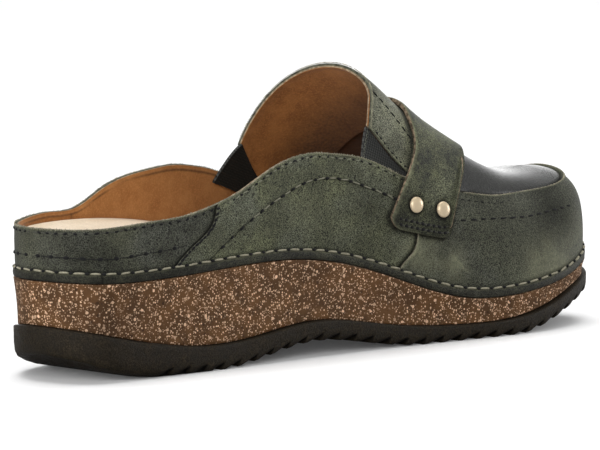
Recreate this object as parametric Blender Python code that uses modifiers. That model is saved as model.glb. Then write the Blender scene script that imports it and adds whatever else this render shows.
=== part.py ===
"""Slip-on clog, left shoe: rocker outsole, cork midsole, leather rand, footbed and a loafer upper.

Frame: metres, +X towards the toe, +Z up, -Y the inner (medial) side. The origin is the centre of the
heel's flat tread spot, on the floor.
"""

import bmesh
import bpy
import numpy as np
from mathutils import Matrix, Vector

# Driving sizes, in metres
OUTSOLE_LENGTH = 0.262
BALL_WIDTH = 0.098
HEEL_STACK = 0.0405
UPPER_HEIGHT = 0.075
HEEL_SPOT = 0.052

# Walls, margins and clearances
WELT_MARGIN = 0.0017
CORK_TAPER = 0.0012
RAND_WALL = 0.0030
RAND_HEIGHT = 0.0042
RAND_LEAN = 0.0004
UPPER_SETBACK = 0.0003
UPPER_BULGE = 0.0020
UPPER_WALL = 0.0020
TONGUE_WALL = 0.0018
GORE_WALL = 0.0012
GORE_OVERLAP = 0.0050
TONGUE_CLEAR = 0.0012
STRAP_WALL = 0.0019
STRAP_GAP = 0.0005
STRAP_END_REAR = 0.0140
STRAP_END_FRONT = 0.0170
FIT_GAP = 0.0003
INSOLE_EASE = 0.0006
INSOLE_DISH = 0.0020
APRON_RIDGE = 0.0010
APRON_RECESS = 0.0005
RIDGE_SPREAD = 0.0020

# Outsole edge and tread
EDGE_BEVEL = 0.0016
EDGE_RISE = 0.0045
TREAD_PITCH = 0.0072
TREAD_LAND = 0.0036
TREAD_FACE = 0.0008
TREAD_DEPTH = 0.0018
TREAD_START = 0.062
TREAD_STOP = 0.250

# Strap rivets: radius, height of dome and rim
RIVET_RADIUS = 0.0032
RIVET_DOME = 0.0011
RIVET_RIM = 0.0005

# Grid density of the lofts
STATIONS = 44
WALL_ROWS = 5
APRON_ROWS = 6
TONGUE_ROWS = 6
TONGUE_COLUMNS = 14
GORE_ROWS = 5
GORE_COLUMNS = 5
STRAP_ROWS = 24
STRAP_COLUMNS = 6
RIVET_SIDES = 20
RIVET_ROWS = 4
CURVE_SAMPLES = 64

# Plan outline of the outsole. x: share of the length; med, lat: share of the ball width.
OUTLINE = {
    "x":   (0.00, 0.03, 0.10, 0.20, 0.32, 0.44, 0.56, 0.66, 0.74, 0.83, 0.91, 0.97, 1.00),
    "med": (0.000, 0.245, 0.300, 0.325, 0.340, 0.360, 0.395, 0.442, 0.482, 0.500, 0.463, 0.370, 0.145),
    "lat": (0.000, 0.200, 0.310, 0.350, 0.380, 0.425, 0.480, 0.510, 0.505, 0.445, 0.315, 0.105, -0.145),
}
# Heights along the sole, in shares of the heel stack. tread: underside; ledge: the outsole's top edge;
# cork_med, cork_lat: the cork's top edge on each side; footbed: edge of the footbed's top.
HEIGHTS = {
    "x":        (0.00, 0.06, 0.18, 0.30, 0.42, 0.55, 0.68, 0.80, 0.92, 1.00),
    "tread":    (0.225, 0.085, -0.010, 0.030, 0.150, 0.040, -0.020, 0.010, 0.235, 0.370),
    "ledge":    (0.505, 0.415, 0.260, 0.255, 0.340, 0.225, 0.150, 0.190, 0.400, 0.520),
    "cork_med": (0.915, 0.890, 0.895, 0.930, 0.905, 0.690, 0.410, 0.390, 0.525, 0.685),
    "cork_lat": (0.915, 0.890, 0.885, 0.890, 0.840, 0.650, 0.410, 0.390, 0.525, 0.685),
    "footbed":  (1.335, 1.335, 1.325, 1.250, 1.090, 0.860, 0.620, 0.580, 0.680, 0.810),
}
# The last above the upper's seam. top_x: share of the length; top_y: share of the ball width; top_z:
# share of the upper's height; rise and crown: the section curve's two handles, in shares of its own
# height and of its half width on each side.
LAST = {
    "x":         (0.00, 0.10, 0.22, 0.36, 0.50, 0.57, 0.65, 0.73, 0.80, 0.88, 0.95, 1.00),
    "top_x":     (0.20, 0.22, 0.27, 0.36, 0.50, 0.57, 0.65, 0.73, 0.80, 0.865, 0.903, 0.915),
    "top_y":     (0.00, 0.00, 0.00, -0.04, -0.09, -0.10, -0.10, -0.10, -0.11, -0.125, -0.14, -0.145),
    "top_z":     (1.034, 1.051, 1.043, 1.010, 1.013, 1.024, 0.902, 0.758, 0.609, 0.499, 0.437, 0.386),
    "rise":      (0.60, 0.60, 0.60, 0.56, 0.52, 0.50, 0.52, 0.60, 0.70, 0.79, 0.84, 0.86),
    "crown_med": (0.60, 0.60, 0.60, 0.70, 0.78, 0.78, 0.72, 0.66, 0.65, 0.69, 0.74, 0.76),
    "crown_lat": (0.60, 0.60, 0.60, 0.60, 0.50, 0.48, 0.50, 0.55, 0.60, 0.68, 0.74, 0.76),
}
# Top edge of the side wall: collar, then the quarter's top, then the apron's seam. Height above the
# upper's seam, in shares of the upper's height.
COLLAR = {
    "x":   (0.00, 0.06, 0.13, 0.19, 0.24, 0.29, 0.34, 0.39, 0.43, 0.47, 0.52, 0.59, 0.65, 0.70, 0.75, 0.80,
            0.865, 0.93, 1.00),
    "med": (0.200, 0.216, 0.231, 0.238, 0.265, 0.312, 0.388, 0.452, 0.480, 0.492, 0.505, 0.483, 0.482, 0.481,
            0.458, 0.443, 0.414, 0.381, 0.361),
    "lat": (0.200, 0.216, 0.231, 0.235, 0.309, 0.359, 0.383, 0.403, 0.402, 0.399, 0.381, 0.378, 0.421, 0.462,
            0.458, 0.443, 0.414, 0.381, 0.361),
}
# Side edges of the tongue: height above the upper's seam, in shares of the upper's height.
TONGUE_SIDE = {
    "x":   (0.50, 0.54, 0.57, 0.60, 0.65),
    "med": (0.778, 0.680, 0.578, 0.513, 0.502),
    "lat": (0.599, 0.481, 0.410, 0.400, 0.443),
}
# Rear edge of the tongue across its width (-1 inner corner, 1 outer corner), in shares of the length.
TONGUE_REAR = {
    "across": (-1.00, -0.70, -0.35, -0.05, 0.30, 0.65, 1.00),
    "x":      (0.541, 0.557, 0.575, 0.568, 0.545, 0.527, 0.516),
}
THROAT = 0.640
APRON_START = (0.700, 0.725)
# Gore panels: rear edge at the quarter and at the tongue, front end; in shares of the length.
GORES = {
    "side":    ("med", "lat"),
    "quarter": (0.519, 0.472),
    "tongue":  (0.541, 0.515),
    "front":   (0.605, 0.600),
}
# Strap edges from its inner end over the top to its outer end, in shares of the length.
STRAP = {
    "across": (-1.00, -0.80, -0.60, -0.40, -0.20, 0.00, 0.20, 0.40, 0.60, 0.80, 1.00),
    "rear":   (0.556, 0.590, 0.618, 0.628, 0.640, 0.646, 0.640, 0.628, 0.618, 0.590, 0.556),
    "front":  (0.660, 0.683, 0.709, 0.734, 0.757, 0.768, 0.757, 0.734, 0.709, 0.683, 0.660),
}
# Rivets at each strap end: share of the length, height above the upper's seam.
RIVETS = {
    "x":      (0.600, 0.648),
    "height": (0.0261, 0.0275),
}
# Plain finish of each kind of piece: colour, roughness, metallic.
FINISHES = {
    "outsole": ((0.035, 0.030, 0.026), 0.75, 0.0),
    "cork":    ((0.42, 0.27, 0.15), 0.80, 0.0),
    "rand":    ((0.075, 0.070, 0.055), 0.70, 0.0),
    "footbed": ((0.75, 0.68, 0.55), 0.85, 0.0),
    "upper":   ((0.115, 0.105, 0.080), 0.70, 0.0),
    "tongue":  ((0.105, 0.097, 0.075), 0.70, 0.0),
    "gore":    ((0.045, 0.045, 0.045), 0.90, 0.0),
    "strap":   ((0.110, 0.100, 0.078), 0.70, 0.0),
    "rivet":   ((0.62, 0.52, 0.33), 0.35, 1.0),
}


def spline(table, column, share, knots="x", warp=None):
    """Natural cubic curve through a table's column, read at the given shares."""
    bend = warp or np.asarray
    place = np.asarray(bend(np.asarray(table[knots], float)), float)
    value = np.asarray(table[column], float)
    at = np.asarray(bend(np.asarray(share, float)), float)
    step = np.diff(place)
    slope = np.diff(value) / step
    count = len(place)
    system = np.eye(count)
    right = np.zeros(count)
    for row in range(1, count - 1):
        system[row, row - 1:row + 2] = step[row - 1], 2 * (step[row - 1] + step[row]), step[row]
        right[row] = 6 * (slope[row] - slope[row - 1])
    curve = np.linalg.solve(system, right)
    span = np.clip(np.searchsorted(place, at) - 1, 0, count - 2)
    reach = at - place[span]
    width = step[span]
    first = slope[span] - width * (2 * curve[span] + curve[span + 1]) / 6
    third = (curve[span + 1] - curve[span]) / (6 * width)
    return value[span] + reach * (first + reach * (curve[span] / 2 + reach * third))


def to_angle(share):
    """Station angle of a share of the length: 0 at the heel, pi at the toe, so that ends close round."""
    return np.arccos(1 - 2 * np.clip(share, 0, 1))


def to_share(angle):
    """Share of the length of a station angle."""
    return (1 - np.cos(angle)) / 2


def smooth_step(low, high, value):
    """0 below low, 1 above high and an even S curve between."""
    part = np.clip((value - low) / (high - low), 0, 1)
    return part * part * (3 - 2 * part)


def side_sign(side):
    """-1 on the inner side, 1 on the outer side."""
    return -1.0 if side == "med" else 1.0


def height(column, share):
    """Height of a sole line above the floor."""
    return HEEL_STACK * spline(HEIGHTS, column, share)


def tread_height(share):
    """Underside of the sole: the floor itself at heel and forefoot, arched and sprung elsewhere."""
    return np.maximum(height("tread", share), 0)


def seam_height(share, side):
    """Height of the seam between rand and upper."""
    return height("cork_" + side, share) + RAND_HEIGHT


def edge(angle, side, inset):
    """Plan points (x, y) of the outsole's outline, moved inwards by an inset."""
    small = 1e-4

    def outline(at):
        share = to_share(at)
        across = side_sign(side) * BALL_WIDTH * spline(OUTLINE, side, share, warp=to_angle)
        return np.stack([OUTSOLE_LENGTH * share - HEEL_SPOT, across], -1)

    before = np.clip(angle - small, 0, np.pi)
    after = np.clip(angle + small, 0, np.pi)
    along = outline(after) - outline(before)
    along = along / np.linalg.norm(along, axis=-1, keepdims=True)
    inward = -side_sign(side) * np.stack([-along[..., 1], along[..., 0]], -1)
    return outline(angle) + inset * inward


def section(angle, side):
    """The four control points of the last's section curve at each station angle."""
    share = to_share(angle)
    inset = WELT_MARGIN - CORK_TAPER + RAND_LEAN + UPPER_SETBACK
    foot = edge(angle, side, inset)
    low = seam_height(share, side) + FIT_GAP
    base = (seam_height(share, "med") + seam_height(share, "lat")) / 2
    top = np.stack([OUTSOLE_LENGTH * spline(LAST, "top_x", share) - HEEL_SPOT,
                    BALL_WIDTH * spline(LAST, "top_y", share),
                    base + UPPER_HEIGHT * spline(LAST, "top_z", share)], -1)
    out = foot - top[..., :2]
    out_length = np.linalg.norm(out, axis=-1, keepdims=True)
    start = np.concatenate([foot, low[..., None]], -1)
    rise = spline(LAST, "rise", share) * (top[..., 2] - low)
    bulge = foot + UPPER_BULGE * out / out_length
    first = np.concatenate([bulge, (low + rise)[..., None]], -1)
    crown = top[..., :2] + spline(LAST, "crown_" + side, share)[..., None] * out
    second = np.concatenate([crown, top[..., 2:]], -1)
    return start, first, second, top


def last_point(angle, girth, side):
    """Point of the last's surface; girth runs from 0 at the seam to 1 at the ridge."""
    start, first, second, top = section(angle, side)
    part = np.asarray(girth, float)[..., None]
    rest = 1 - part
    return rest ** 3 * start + 3 * rest ** 2 * part * first + 3 * rest * part ** 2 * second + part ** 3 * top


def last_normal(angle, girth, side):
    """Outward normal of the last's surface."""
    small = 1e-3
    angle = np.clip(angle, small, np.pi - small)
    girth = np.clip(girth, small, 1 - small)
    along = last_point(angle + small, girth, side) - last_point(angle - small, girth, side)
    up = last_point(angle, girth + small, side) - last_point(angle, girth - small, side)
    normal = np.cross(along, up) * -side_sign(side)
    return normal / np.linalg.norm(normal, axis=-1, keepdims=True)


def skin(angle, girth, side, offset=0.0):
    """Point at a distance outside the last's surface."""
    away = np.asarray(offset, float)[..., None]
    return last_point(angle, girth, side) + last_normal(angle, girth, side) * away


def girth_at(angle, side, above):
    """Girth share where the section stands a given height above the seam."""
    angle = np.atleast_1d(angle)
    above = np.broadcast_to(above, angle.shape)
    sample = np.linspace(0, 1, CURVE_SAMPLES)
    rows = last_point(angle[:, None], np.broadcast_to(sample, (len(angle), CURVE_SAMPLES)), side)[..., 2]
    return np.array([np.interp(row[0] + lift, row, sample) for row, lift in zip(rows, above)])


def girth_step(angle, girth, side, distance):
    """Girth share of a step of the given distance along the section."""
    small = 1e-3
    run = last_point(angle, np.clip(girth + small, 0, 1), side) - last_point(angle, girth - small, side)
    return distance * 2 * small / np.linalg.norm(run, axis=-1)


def collar_girth(angle, side):
    """Girth share of the side wall's top edge: collar, quarter top or apron seam."""
    return girth_at(angle, side, UPPER_HEIGHT * spline(COLLAR, side, to_share(angle)))


def tongue_girth(angle, side):
    """Girth share of the tongue's side edge."""
    return girth_at(angle, side, UPPER_HEIGHT * spline(TONGUE_SIDE, side, to_share(angle)))


def relief(angle, girth, side):
    """Height of the apron's raised seam and depth of the apron inside it."""
    line = collar_girth(angle, side)
    unit = girth_step(angle, line, side, RIDGE_SPREAD)
    away = (girth - line) / unit
    ridge = APRON_RIDGE * np.clip(1 - np.abs(away), 0, 1)
    inside = APRON_RECESS * np.clip(away, 0, 1)
    return (ridge - inside) * smooth_step(*APRON_START, to_share(angle))


def stations(count=STATIONS):
    """Station angles from heel to toe."""
    return np.linspace(0, np.pi, count + 1)


def join_sides(med, lat):
    """One closed loop: the inner side from heel to toe, then the outer side back to the heel."""
    return np.concatenate([med, lat[-2:0:-1]])


def sole_ring(angles, inset, level):
    """Closed loop round the sole; level gives the height for a station share and a side."""
    sides = []
    for side in ("med", "lat"):
        plan = edge(angles, side, inset)
        lift = level(to_share(angles), side)
        sides.append(np.concatenate([plan, np.asarray(lift)[:, None]], -1))
    return join_sides(*sides)


def finish(name, work, smooth_angle=0.6):
    """Turn a bmesh into a named object with the plain finish of its kind."""
    bmesh.ops.recalc_face_normals(work, faces=work.faces)
    mesh = bpy.data.meshes.new(name)
    work.to_mesh(mesh)
    work.free()
    mesh.shade_smooth()
    mesh.set_sharp_from_angle(angle=smooth_angle)
    piece = bpy.data.objects.new(name, mesh)
    COLLECTION.objects.link(piece)
    material = bpy.data.materials.new(name)
    material.use_nodes = True
    shader = material.node_tree.nodes["Principled BSDF"]
    colour, roughness, metallic = FINISHES[name.split("_")[0]]
    shader.inputs["Base Color"].default_value = (*colour, 1)
    shader.inputs["Roughness"].default_value = roughness
    shader.inputs["Metallic"].default_value = metallic
    mesh.materials.append(material)
    return piece


def add_ring(work, points):
    """Add a loop or row of vertices."""
    return [work.verts.new(point) for point in points]


def bridge(work, lower, upper, closed=True):
    """Quads between two rows of equally many vertices."""
    count = len(lower)
    for index in range(count if closed else count - 1):
        after = (index + 1) % count
        work.faces.new((lower[index], lower[after], upper[after], upper[index]))


def cap(work, ring, ridge=None):
    """Close a sole-shaped loop with strips from side to side, over a middle row where one is given."""
    half = len(ring) // 2
    med = ring[:half + 1]
    lat = [ring[0]] + ring[:half - 1:-1]
    rows = [med, lat] if ridge is None else [med, *ridge, lat]
    for left, right in zip(rows, rows[1:]):
        for index in range(half):
            corners = [left[index], left[index + 1], right[index + 1], right[index]]
            corners = list(dict.fromkeys(corners))
            work.faces.new(corners)


def stack(rings):
    """Closed solid from a list of loops, capped below and above."""
    work = bmesh.new()
    rows = [add_ring(work, ring) for ring in rings]
    for lower, upper in zip(rows, rows[1:]):
        bridge(work, lower, upper)
    cap(work, rows[0])
    cap(work, rows[-1])
    return work


def make_outsole():
    """Rubber outsole: arch and toe spring, bevelled edge, cross ribs that end as a saw edge."""
    heel_side = to_share(stations())
    heel = heel_side[heel_side * OUTSOLE_LENGTH < TREAD_START - TREAD_FACE]
    toe = heel_side[heel_side * OUTSOLE_LENGTH > TREAD_STOP + TREAD_LAND]
    place = list(heel)
    notch = [0.0] * len(heel)
    for start in np.arange(TREAD_START, TREAD_STOP, TREAD_PITCH):
        for along, depth in ((0, 0), (TREAD_LAND, 0), (TREAD_LAND + TREAD_FACE, TREAD_DEPTH)):
            place.append((start + along) / OUTSOLE_LENGTH)
            notch.append(depth)
    place += list(toe)
    notch += [0.0] * len(toe)
    angles = to_angle(np.array(place))
    notch = np.array(notch)
    rings = [sole_ring(angles, EDGE_BEVEL, lambda share, side: tread_height(share) + notch),
             sole_ring(angles, 0, lambda share, side: tread_height(share) + EDGE_RISE),
             sole_ring(angles, 0, lambda share, side: height("ledge", share))]
    return finish("outsole", stack(rings))


def make_cork():
    """Cork midsole between outsole and rand, slightly narrower at its foot."""
    angles = stations()
    rings = [sole_ring(angles, WELT_MARGIN, lambda share, side: height("ledge", share) + FIT_GAP),
             sole_ring(angles, WELT_MARGIN - CORK_TAPER, lambda share, side: height("cork_" + side, share))]
    return finish("cork_midsole", stack(rings))


def make_rand():
    """Leather band wrapped round the edge above the cork."""
    angles = stations()
    outer = WELT_MARGIN - CORK_TAPER
    levels = ((outer, FIT_GAP), (outer + RAND_LEAN, RAND_HEIGHT), (outer + RAND_WALL, RAND_HEIGHT),
              (outer + RAND_WALL, FIT_GAP))
    work = bmesh.new()
    rows = []
    for inset, lift in levels:
        points = sole_ring(angles, inset, lambda share, side: height("cork_" + side, share) + lift)
        rows.append(add_ring(work, points))
    for lower, upper in zip(rows, rows[1:] + rows[:1]):
        bridge(work, lower, upper)
    return finish("rand", work)


def make_footbed():
    """Thick footbed that fills the shell from the cork to just under the heel's rim."""
    angles = stations()
    share = to_share(angles)
    depth = UPPER_WALL + INSOLE_EASE
    work = bmesh.new()
    rows = []
    for part in (0.0, 0.5, 1.0):
        sides = []
        for side in ("med", "lat"):
            low = height("cork_" + side, share) + FIT_GAP
            level = low + (height("footbed", share) - low) * part
            above = level - seam_height(share, side) - FIT_GAP
            points = skin(angles, girth_at(angles, side, np.maximum(above, 0)), side, -depth)
            points[:, 2] = level
            sides.append(points)
        rows.append(add_ring(work, join_sides(*sides)))
    for lower, upper in zip(rows, rows[1:]):
        bridge(work, lower, upper)
    cap(work, rows[0])
    half = STATIONS
    rim = np.array([vertex.co for vertex in rows[-1]])
    med = rim[:half + 1]
    lat = np.concatenate([rim[:1], rim[:half - 1:-1]])
    ridge = []
    for across in (0.2, 0.4, 0.6, 0.8):
        middle = med + (lat - med) * across
        middle[:, 2] -= INSOLE_DISH * 4 * across * (1 - across)
        row = [rows[-1][0], *add_ring(work, middle[1:-1]), rows[-1][half]]
        ridge.append(row)
    cap(work, rows[-1], ridge)
    return finish("footbed", work)


def wall_girths(angles, side):
    """Girth shares of the side wall's rows at each station, the last two framing the raised seam."""
    line = collar_girth(angles, side)
    unit = girth_step(angles, line, side, RIDGE_SPREAD)
    rows = [(line - unit) * part for part in np.linspace(0, 1, WALL_ROWS + 1)]
    return rows + [line], line + unit


def make_upper():
    """One hollow leather shell: heel wall, quarters and vamp with its raised apron seam."""
    angles = stations()
    first = int(np.argmin(np.abs(to_share(angles) - THROAT)))
    work = bmesh.new()
    walls = {side: wall_girths(angles, side) for side in ("med", "lat")}
    rows = []
    for index in range(WALL_ROWS + 2):
        sides = []
        for side in ("med", "lat"):
            girth = walls[side][0][index]
            sides.append(skin(angles, girth, side, relief(angles, girth, side)))
        rows.append(add_ring(work, join_sides(*sides)))
    for lower, upper in zip(rows, rows[1:]):
        bridge(work, lower, upper)
    half = len(angles) - 1
    front = angles[first:]
    med = [rows[-1][first:half + 1]]
    lat = [[rows[-1][(2 * half - index) % (2 * half)] for index in range(first, half + 1)]]
    for part in np.linspace(0, 1, APRON_ROWS + 1):
        for side, columns in (("med", med), ("lat", lat)):
            inner = walls[side][1][first:]
            girth = inner + (1 - inner) * part
            points = skin(front, girth, side, relief(front, girth, side))
            if side == "med":
                columns.append(add_ring(work, points))
            elif part < 1:
                columns.append(add_ring(work, points[:-1]) + [med[-1][-1]])
            else:
                columns.append(med[-1])
    for columns in (med, lat):
        for lower, upper in zip(columns, columns[1:]):
            bridge(work, lower, upper, closed=False)
    shell = finish("upper", work)
    thicken(shell, UPPER_WALL, -1)
    return shell


def throat_share():
    """Share of the length of the vamp's rear edge, which lies on a station."""
    shares = to_share(stations())
    return shares[int(np.argmin(np.abs(shares - THROAT)))]


def thicken(piece, wall, offset):
    """Give an open surface its wall, inwards for -1 and outwards for 1."""
    solid = piece.modifiers.new("wall", "SOLIDIFY")
    solid.thickness = wall
    solid.offset = offset
    solid.use_even_offset = True
    solid.use_quality_normals = True


def sheet(name, points, wall, offset):
    """A piece made from a grid of points with a wall."""
    work = bmesh.new()
    rows = [add_ring(work, row) for row in points]
    for lower, upper in zip(rows, rows[1:]):
        bridge(work, lower, upper, closed=False)
    piece = finish(name, work)
    thicken(piece, wall, offset)
    return piece


def tongue_edge(angle, side):
    """Girth share of the tongue's side edge, kept clear of the quarter's top."""
    line = collar_girth(angle, side)
    clear = line + girth_step(angle, line, side, TONGUE_CLEAR)
    return np.maximum(tongue_girth(angle, side), clear)


def make_tongue():
    """Stiff leather tongue, butted to the vamp's throat under the strap, its rear edge free."""
    front = throat_share() - FIT_GAP / OUTSOLE_LENGTH
    columns = []
    for across in np.linspace(-1, 1, TONGUE_COLUMNS + 1):
        side = "med" if across < 0 else "lat"
        rear = float(spline(TONGUE_REAR, "x", across, knots="across"))
        angles = to_angle(np.linspace(rear, front, TONGUE_ROWS + 1))
        girth = 1 - abs(across) * (1 - tongue_edge(angles, side))
        columns.append(skin(angles, girth, side))
    return sheet("tongue", columns, TONGUE_WALL, -1)


def make_gore(order):
    """Elastic panel behind the gap between quarter and tongue."""
    side = GORES["side"][order]
    columns = []
    for part in np.linspace(0, 1, GORE_COLUMNS + 1):
        rear = GORES["quarter"][order] + (GORES["tongue"][order] - GORES["quarter"][order]) * part
        angles = to_angle(np.linspace(rear, GORES["front"][order], GORE_ROWS + 1))
        low = collar_girth(angles, side)
        low = low - girth_step(angles, low, side, GORE_OVERLAP)
        high = tongue_edge(angles, side)
        high = high + girth_step(angles, high, side, GORE_OVERLAP)
        girth = low + (high - low) * part
        columns.append(skin(angles, girth, side, -(UPPER_WALL + FIT_GAP)))
    name = "gore_inner" if side == "med" else "gore_outer"
    return sheet(name, columns, GORE_WALL, -1)


def strap_end(angle, side, part):
    """Girth share of the strap's end line, from its rear corner at 0 to its front corner at 1."""
    return girth_at(angle, side, STRAP_END_REAR + (STRAP_END_FRONT - STRAP_END_REAR) * part)


def make_strap():
    """Saddle strap over the instep, both ends riveted to the quarters."""
    columns = []
    for part in np.linspace(0, 1, STRAP_COLUMNS + 1):
        row = []
        for across in np.linspace(-1, 1, STRAP_ROWS + 1):
            side = "med" if across < 0 else "lat"
            rear = float(spline(STRAP, "rear", across, knots="across"))
            front = float(spline(STRAP, "front", across, knots="across"))
            angle = to_angle(np.array([rear + (front - rear) * part]))
            girth = 1 - abs(across) * (1 - strap_end(angle, side, part))
            row.append(skin(angle, girth, side, STRAP_GAP + relief(angle, girth, side))[0])
        columns.append(row)
    return sheet("strap", columns, STRAP_WALL, 1)


def make_rivet(name, order, side):
    """Domed rivet cap, turned from its profile and set square on the strap."""
    angle = to_angle(np.array([RIVETS["x"][order]]))
    girth = girth_at(angle, side, RIVETS["height"][order])
    seat = skin(angle, girth, side, STRAP_GAP + STRAP_WALL + FIT_GAP)[0]
    normal = last_normal(angle, girth, side)[0]
    rounds = np.linspace(0, np.pi / 2, RIVET_ROWS + 1)
    profile = [(RIVET_RADIUS * np.sin(turn), RIVET_RIM + RIVET_DOME * np.cos(turn)) for turn in rounds]
    profile += [(RIVET_RADIUS, 0.0), (0.0, 0.0)]
    work = bmesh.new()
    verts = [work.verts.new((radius, 0, level)) for radius, level in profile]
    for above, below in zip(verts, verts[1:]):
        work.edges.new((above, below))
    piece = finish(name, work)
    turn = piece.modifiers.new("turn", "SCREW")
    turn.axis = "Z"
    turn.steps = RIVET_SIDES
    turn.render_steps = RIVET_SIDES
    turn.use_merge_vertices = True
    turn.merge_threshold = 0.00001
    facing = Vector(normal).to_track_quat("Z", "Y").to_matrix().to_4x4()
    piece.matrix_world = Matrix.Translation(Vector(seat)) @ facing
    return piece


def clear_scene():
    """Remove every object of the file."""
    for item in list(bpy.data.objects):
        bpy.data.objects.remove(item, do_unlink=True)


def main():
    """Build the clog."""
    make_outsole()
    make_cork()
    make_rand()
    make_footbed()
    make_upper()
    make_tongue()
    for order in range(len(GORES["side"])):
        make_gore(order)
    make_strap()
    for side, label in (("med", "inner"), ("lat", "outer")):
        for order, place in enumerate(("rear", "front")):
            make_rivet(f"rivet_{label}_{place}", order, side)


clear_scene()
COLLECTION = bpy.data.collections.new("clog")
bpy.context.scene.collection.children.link(COLLECTION)
main()
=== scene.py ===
"""Looks of a slip-on clog, left shoe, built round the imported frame.

Frame: metres, +X towards the toe, +Z up, -Y the inner side, origin under the middle of the heel spot.
Every leather piece is laid on the last by station angle (0 at the heel, pi at the toe), girth (0 at the
seam above the rand, 1 on the ridge) and side (-1 inner, 1 outer).
"""

import logging
import math
from collections.abc import Callable, Sequence
from dataclasses import dataclass, field
from enum import Enum
from functools import cache, cached_property

import bmesh
import bpy
import numpy as np
from mathutils import Matrix, Vector


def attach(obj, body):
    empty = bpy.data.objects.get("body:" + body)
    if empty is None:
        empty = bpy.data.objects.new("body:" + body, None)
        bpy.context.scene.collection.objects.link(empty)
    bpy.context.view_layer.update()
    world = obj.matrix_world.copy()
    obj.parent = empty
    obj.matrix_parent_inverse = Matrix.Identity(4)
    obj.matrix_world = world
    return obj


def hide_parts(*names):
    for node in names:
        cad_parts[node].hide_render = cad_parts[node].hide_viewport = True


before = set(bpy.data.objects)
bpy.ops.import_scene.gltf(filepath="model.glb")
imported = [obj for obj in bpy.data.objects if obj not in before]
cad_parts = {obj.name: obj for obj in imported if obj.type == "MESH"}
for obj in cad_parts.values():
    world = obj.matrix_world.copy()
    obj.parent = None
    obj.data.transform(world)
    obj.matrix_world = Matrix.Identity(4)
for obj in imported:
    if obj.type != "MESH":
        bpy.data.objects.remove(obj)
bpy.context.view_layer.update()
LOG = logging.getLogger("clog")
MM = 0.001

Array = np.ndarray
Colour = tuple[float, float, float]
Places = tuple[Array, Array, Array]


def to_angle(share: Array) -> Array:
    """Station angle of a share of the length."""
    return np.arccos(1 - 2 * np.clip(share, 0, 1))


def to_share(angle: Array) -> Array:
    """Share of the length of a station angle."""
    return (1 - np.cos(angle)) / 2


def ease(low: float, high: float, value: Array) -> Array:
    """0 below low, 1 above high and an even S curve between."""
    part = np.clip((value - low) / (high - low), 0, 1)
    return part * part * (3 - 2 * part)


def unit(vectors: Array) -> Array:
    """Vectors scaled to length one."""
    return vectors / np.maximum(np.linalg.norm(vectors, axis=-1, keepdims=True), 1e-12)


@dataclass(frozen=True)
class Curve:
    """Natural cubic curve through a row of knots.

    Attributes:
        knots: places along the curve, rising.
        values: the curve's value at each knot.
        rounded: it runs in station angle, so that its ends close round.
    """

    knots: tuple[float, ...]
    values: tuple[float, ...]
    rounded: bool = False

    @cached_property
    def places(self) -> Array:
        """Knots in the measure that the curve runs in."""
        knots = np.array(self.knots, float)
        return to_angle(knots) if self.rounded else knots

    @cached_property
    def bends(self) -> Array:
        """Second derivative at each knot."""
        place, value = self.places, np.array(self.values, float)
        step = np.diff(place)
        slope = np.diff(value) / step
        system = np.eye(len(place))
        right = np.zeros(len(place))
        for row in range(1, len(place) - 1):
            system[row, row - 1:row + 2] = step[row - 1], 2 * (step[row - 1] + step[row]), step[row]
            right[row] = 6 * (slope[row] - slope[row - 1])
        return np.linalg.solve(system, right)

    def at(self, share: Array) -> Array:
        """Value of the curve at the given places.

        Args:
            share: places to read, in the knots' own measure.

        Returns:
            The curve's values.
        """
        place, value, bend = self.places, np.array(self.values, float), self.bends
        where = to_angle(np.asarray(share, float)) if self.rounded else np.asarray(share, float)
        span = np.clip(np.searchsorted(place, where) - 1, 0, len(place) - 2)
        reach = where - place[span]
        width = (place[span + 1] - place[span])
        rise = (value[span + 1] - value[span]) / width
        first = rise - width * (2 * bend[span] + bend[span + 1]) / 6
        third = (bend[span + 1] - bend[span]) / (6 * width)
        return value[span] + reach * (first + reach * (bend[span] / 2 + reach * third))


OUTLINE_X = (0.00, 0.03, 0.10, 0.20, 0.32, 0.44, 0.56, 0.66, 0.74, 0.83, 0.91, 0.97, 1.00)
HEIGHT_X = (0.00, 0.06, 0.18, 0.30, 0.42, 0.55, 0.68, 0.80, 0.92, 1.00)
LAST_X = (0.00, 0.10, 0.22, 0.36, 0.50, 0.57, 0.65, 0.73, 0.80, 0.88, 0.95, 1.00)
COLLAR_X = (0.00, 0.06, 0.13, 0.19, 0.24, 0.29, 0.34, 0.39, 0.43, 0.47, 0.52, 0.59, 0.65, 0.70, 0.75, 0.80,
            0.865, 0.93, 1.00)
TONGUE_X = (0.50, 0.54, 0.57, 0.60, 0.65)


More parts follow.
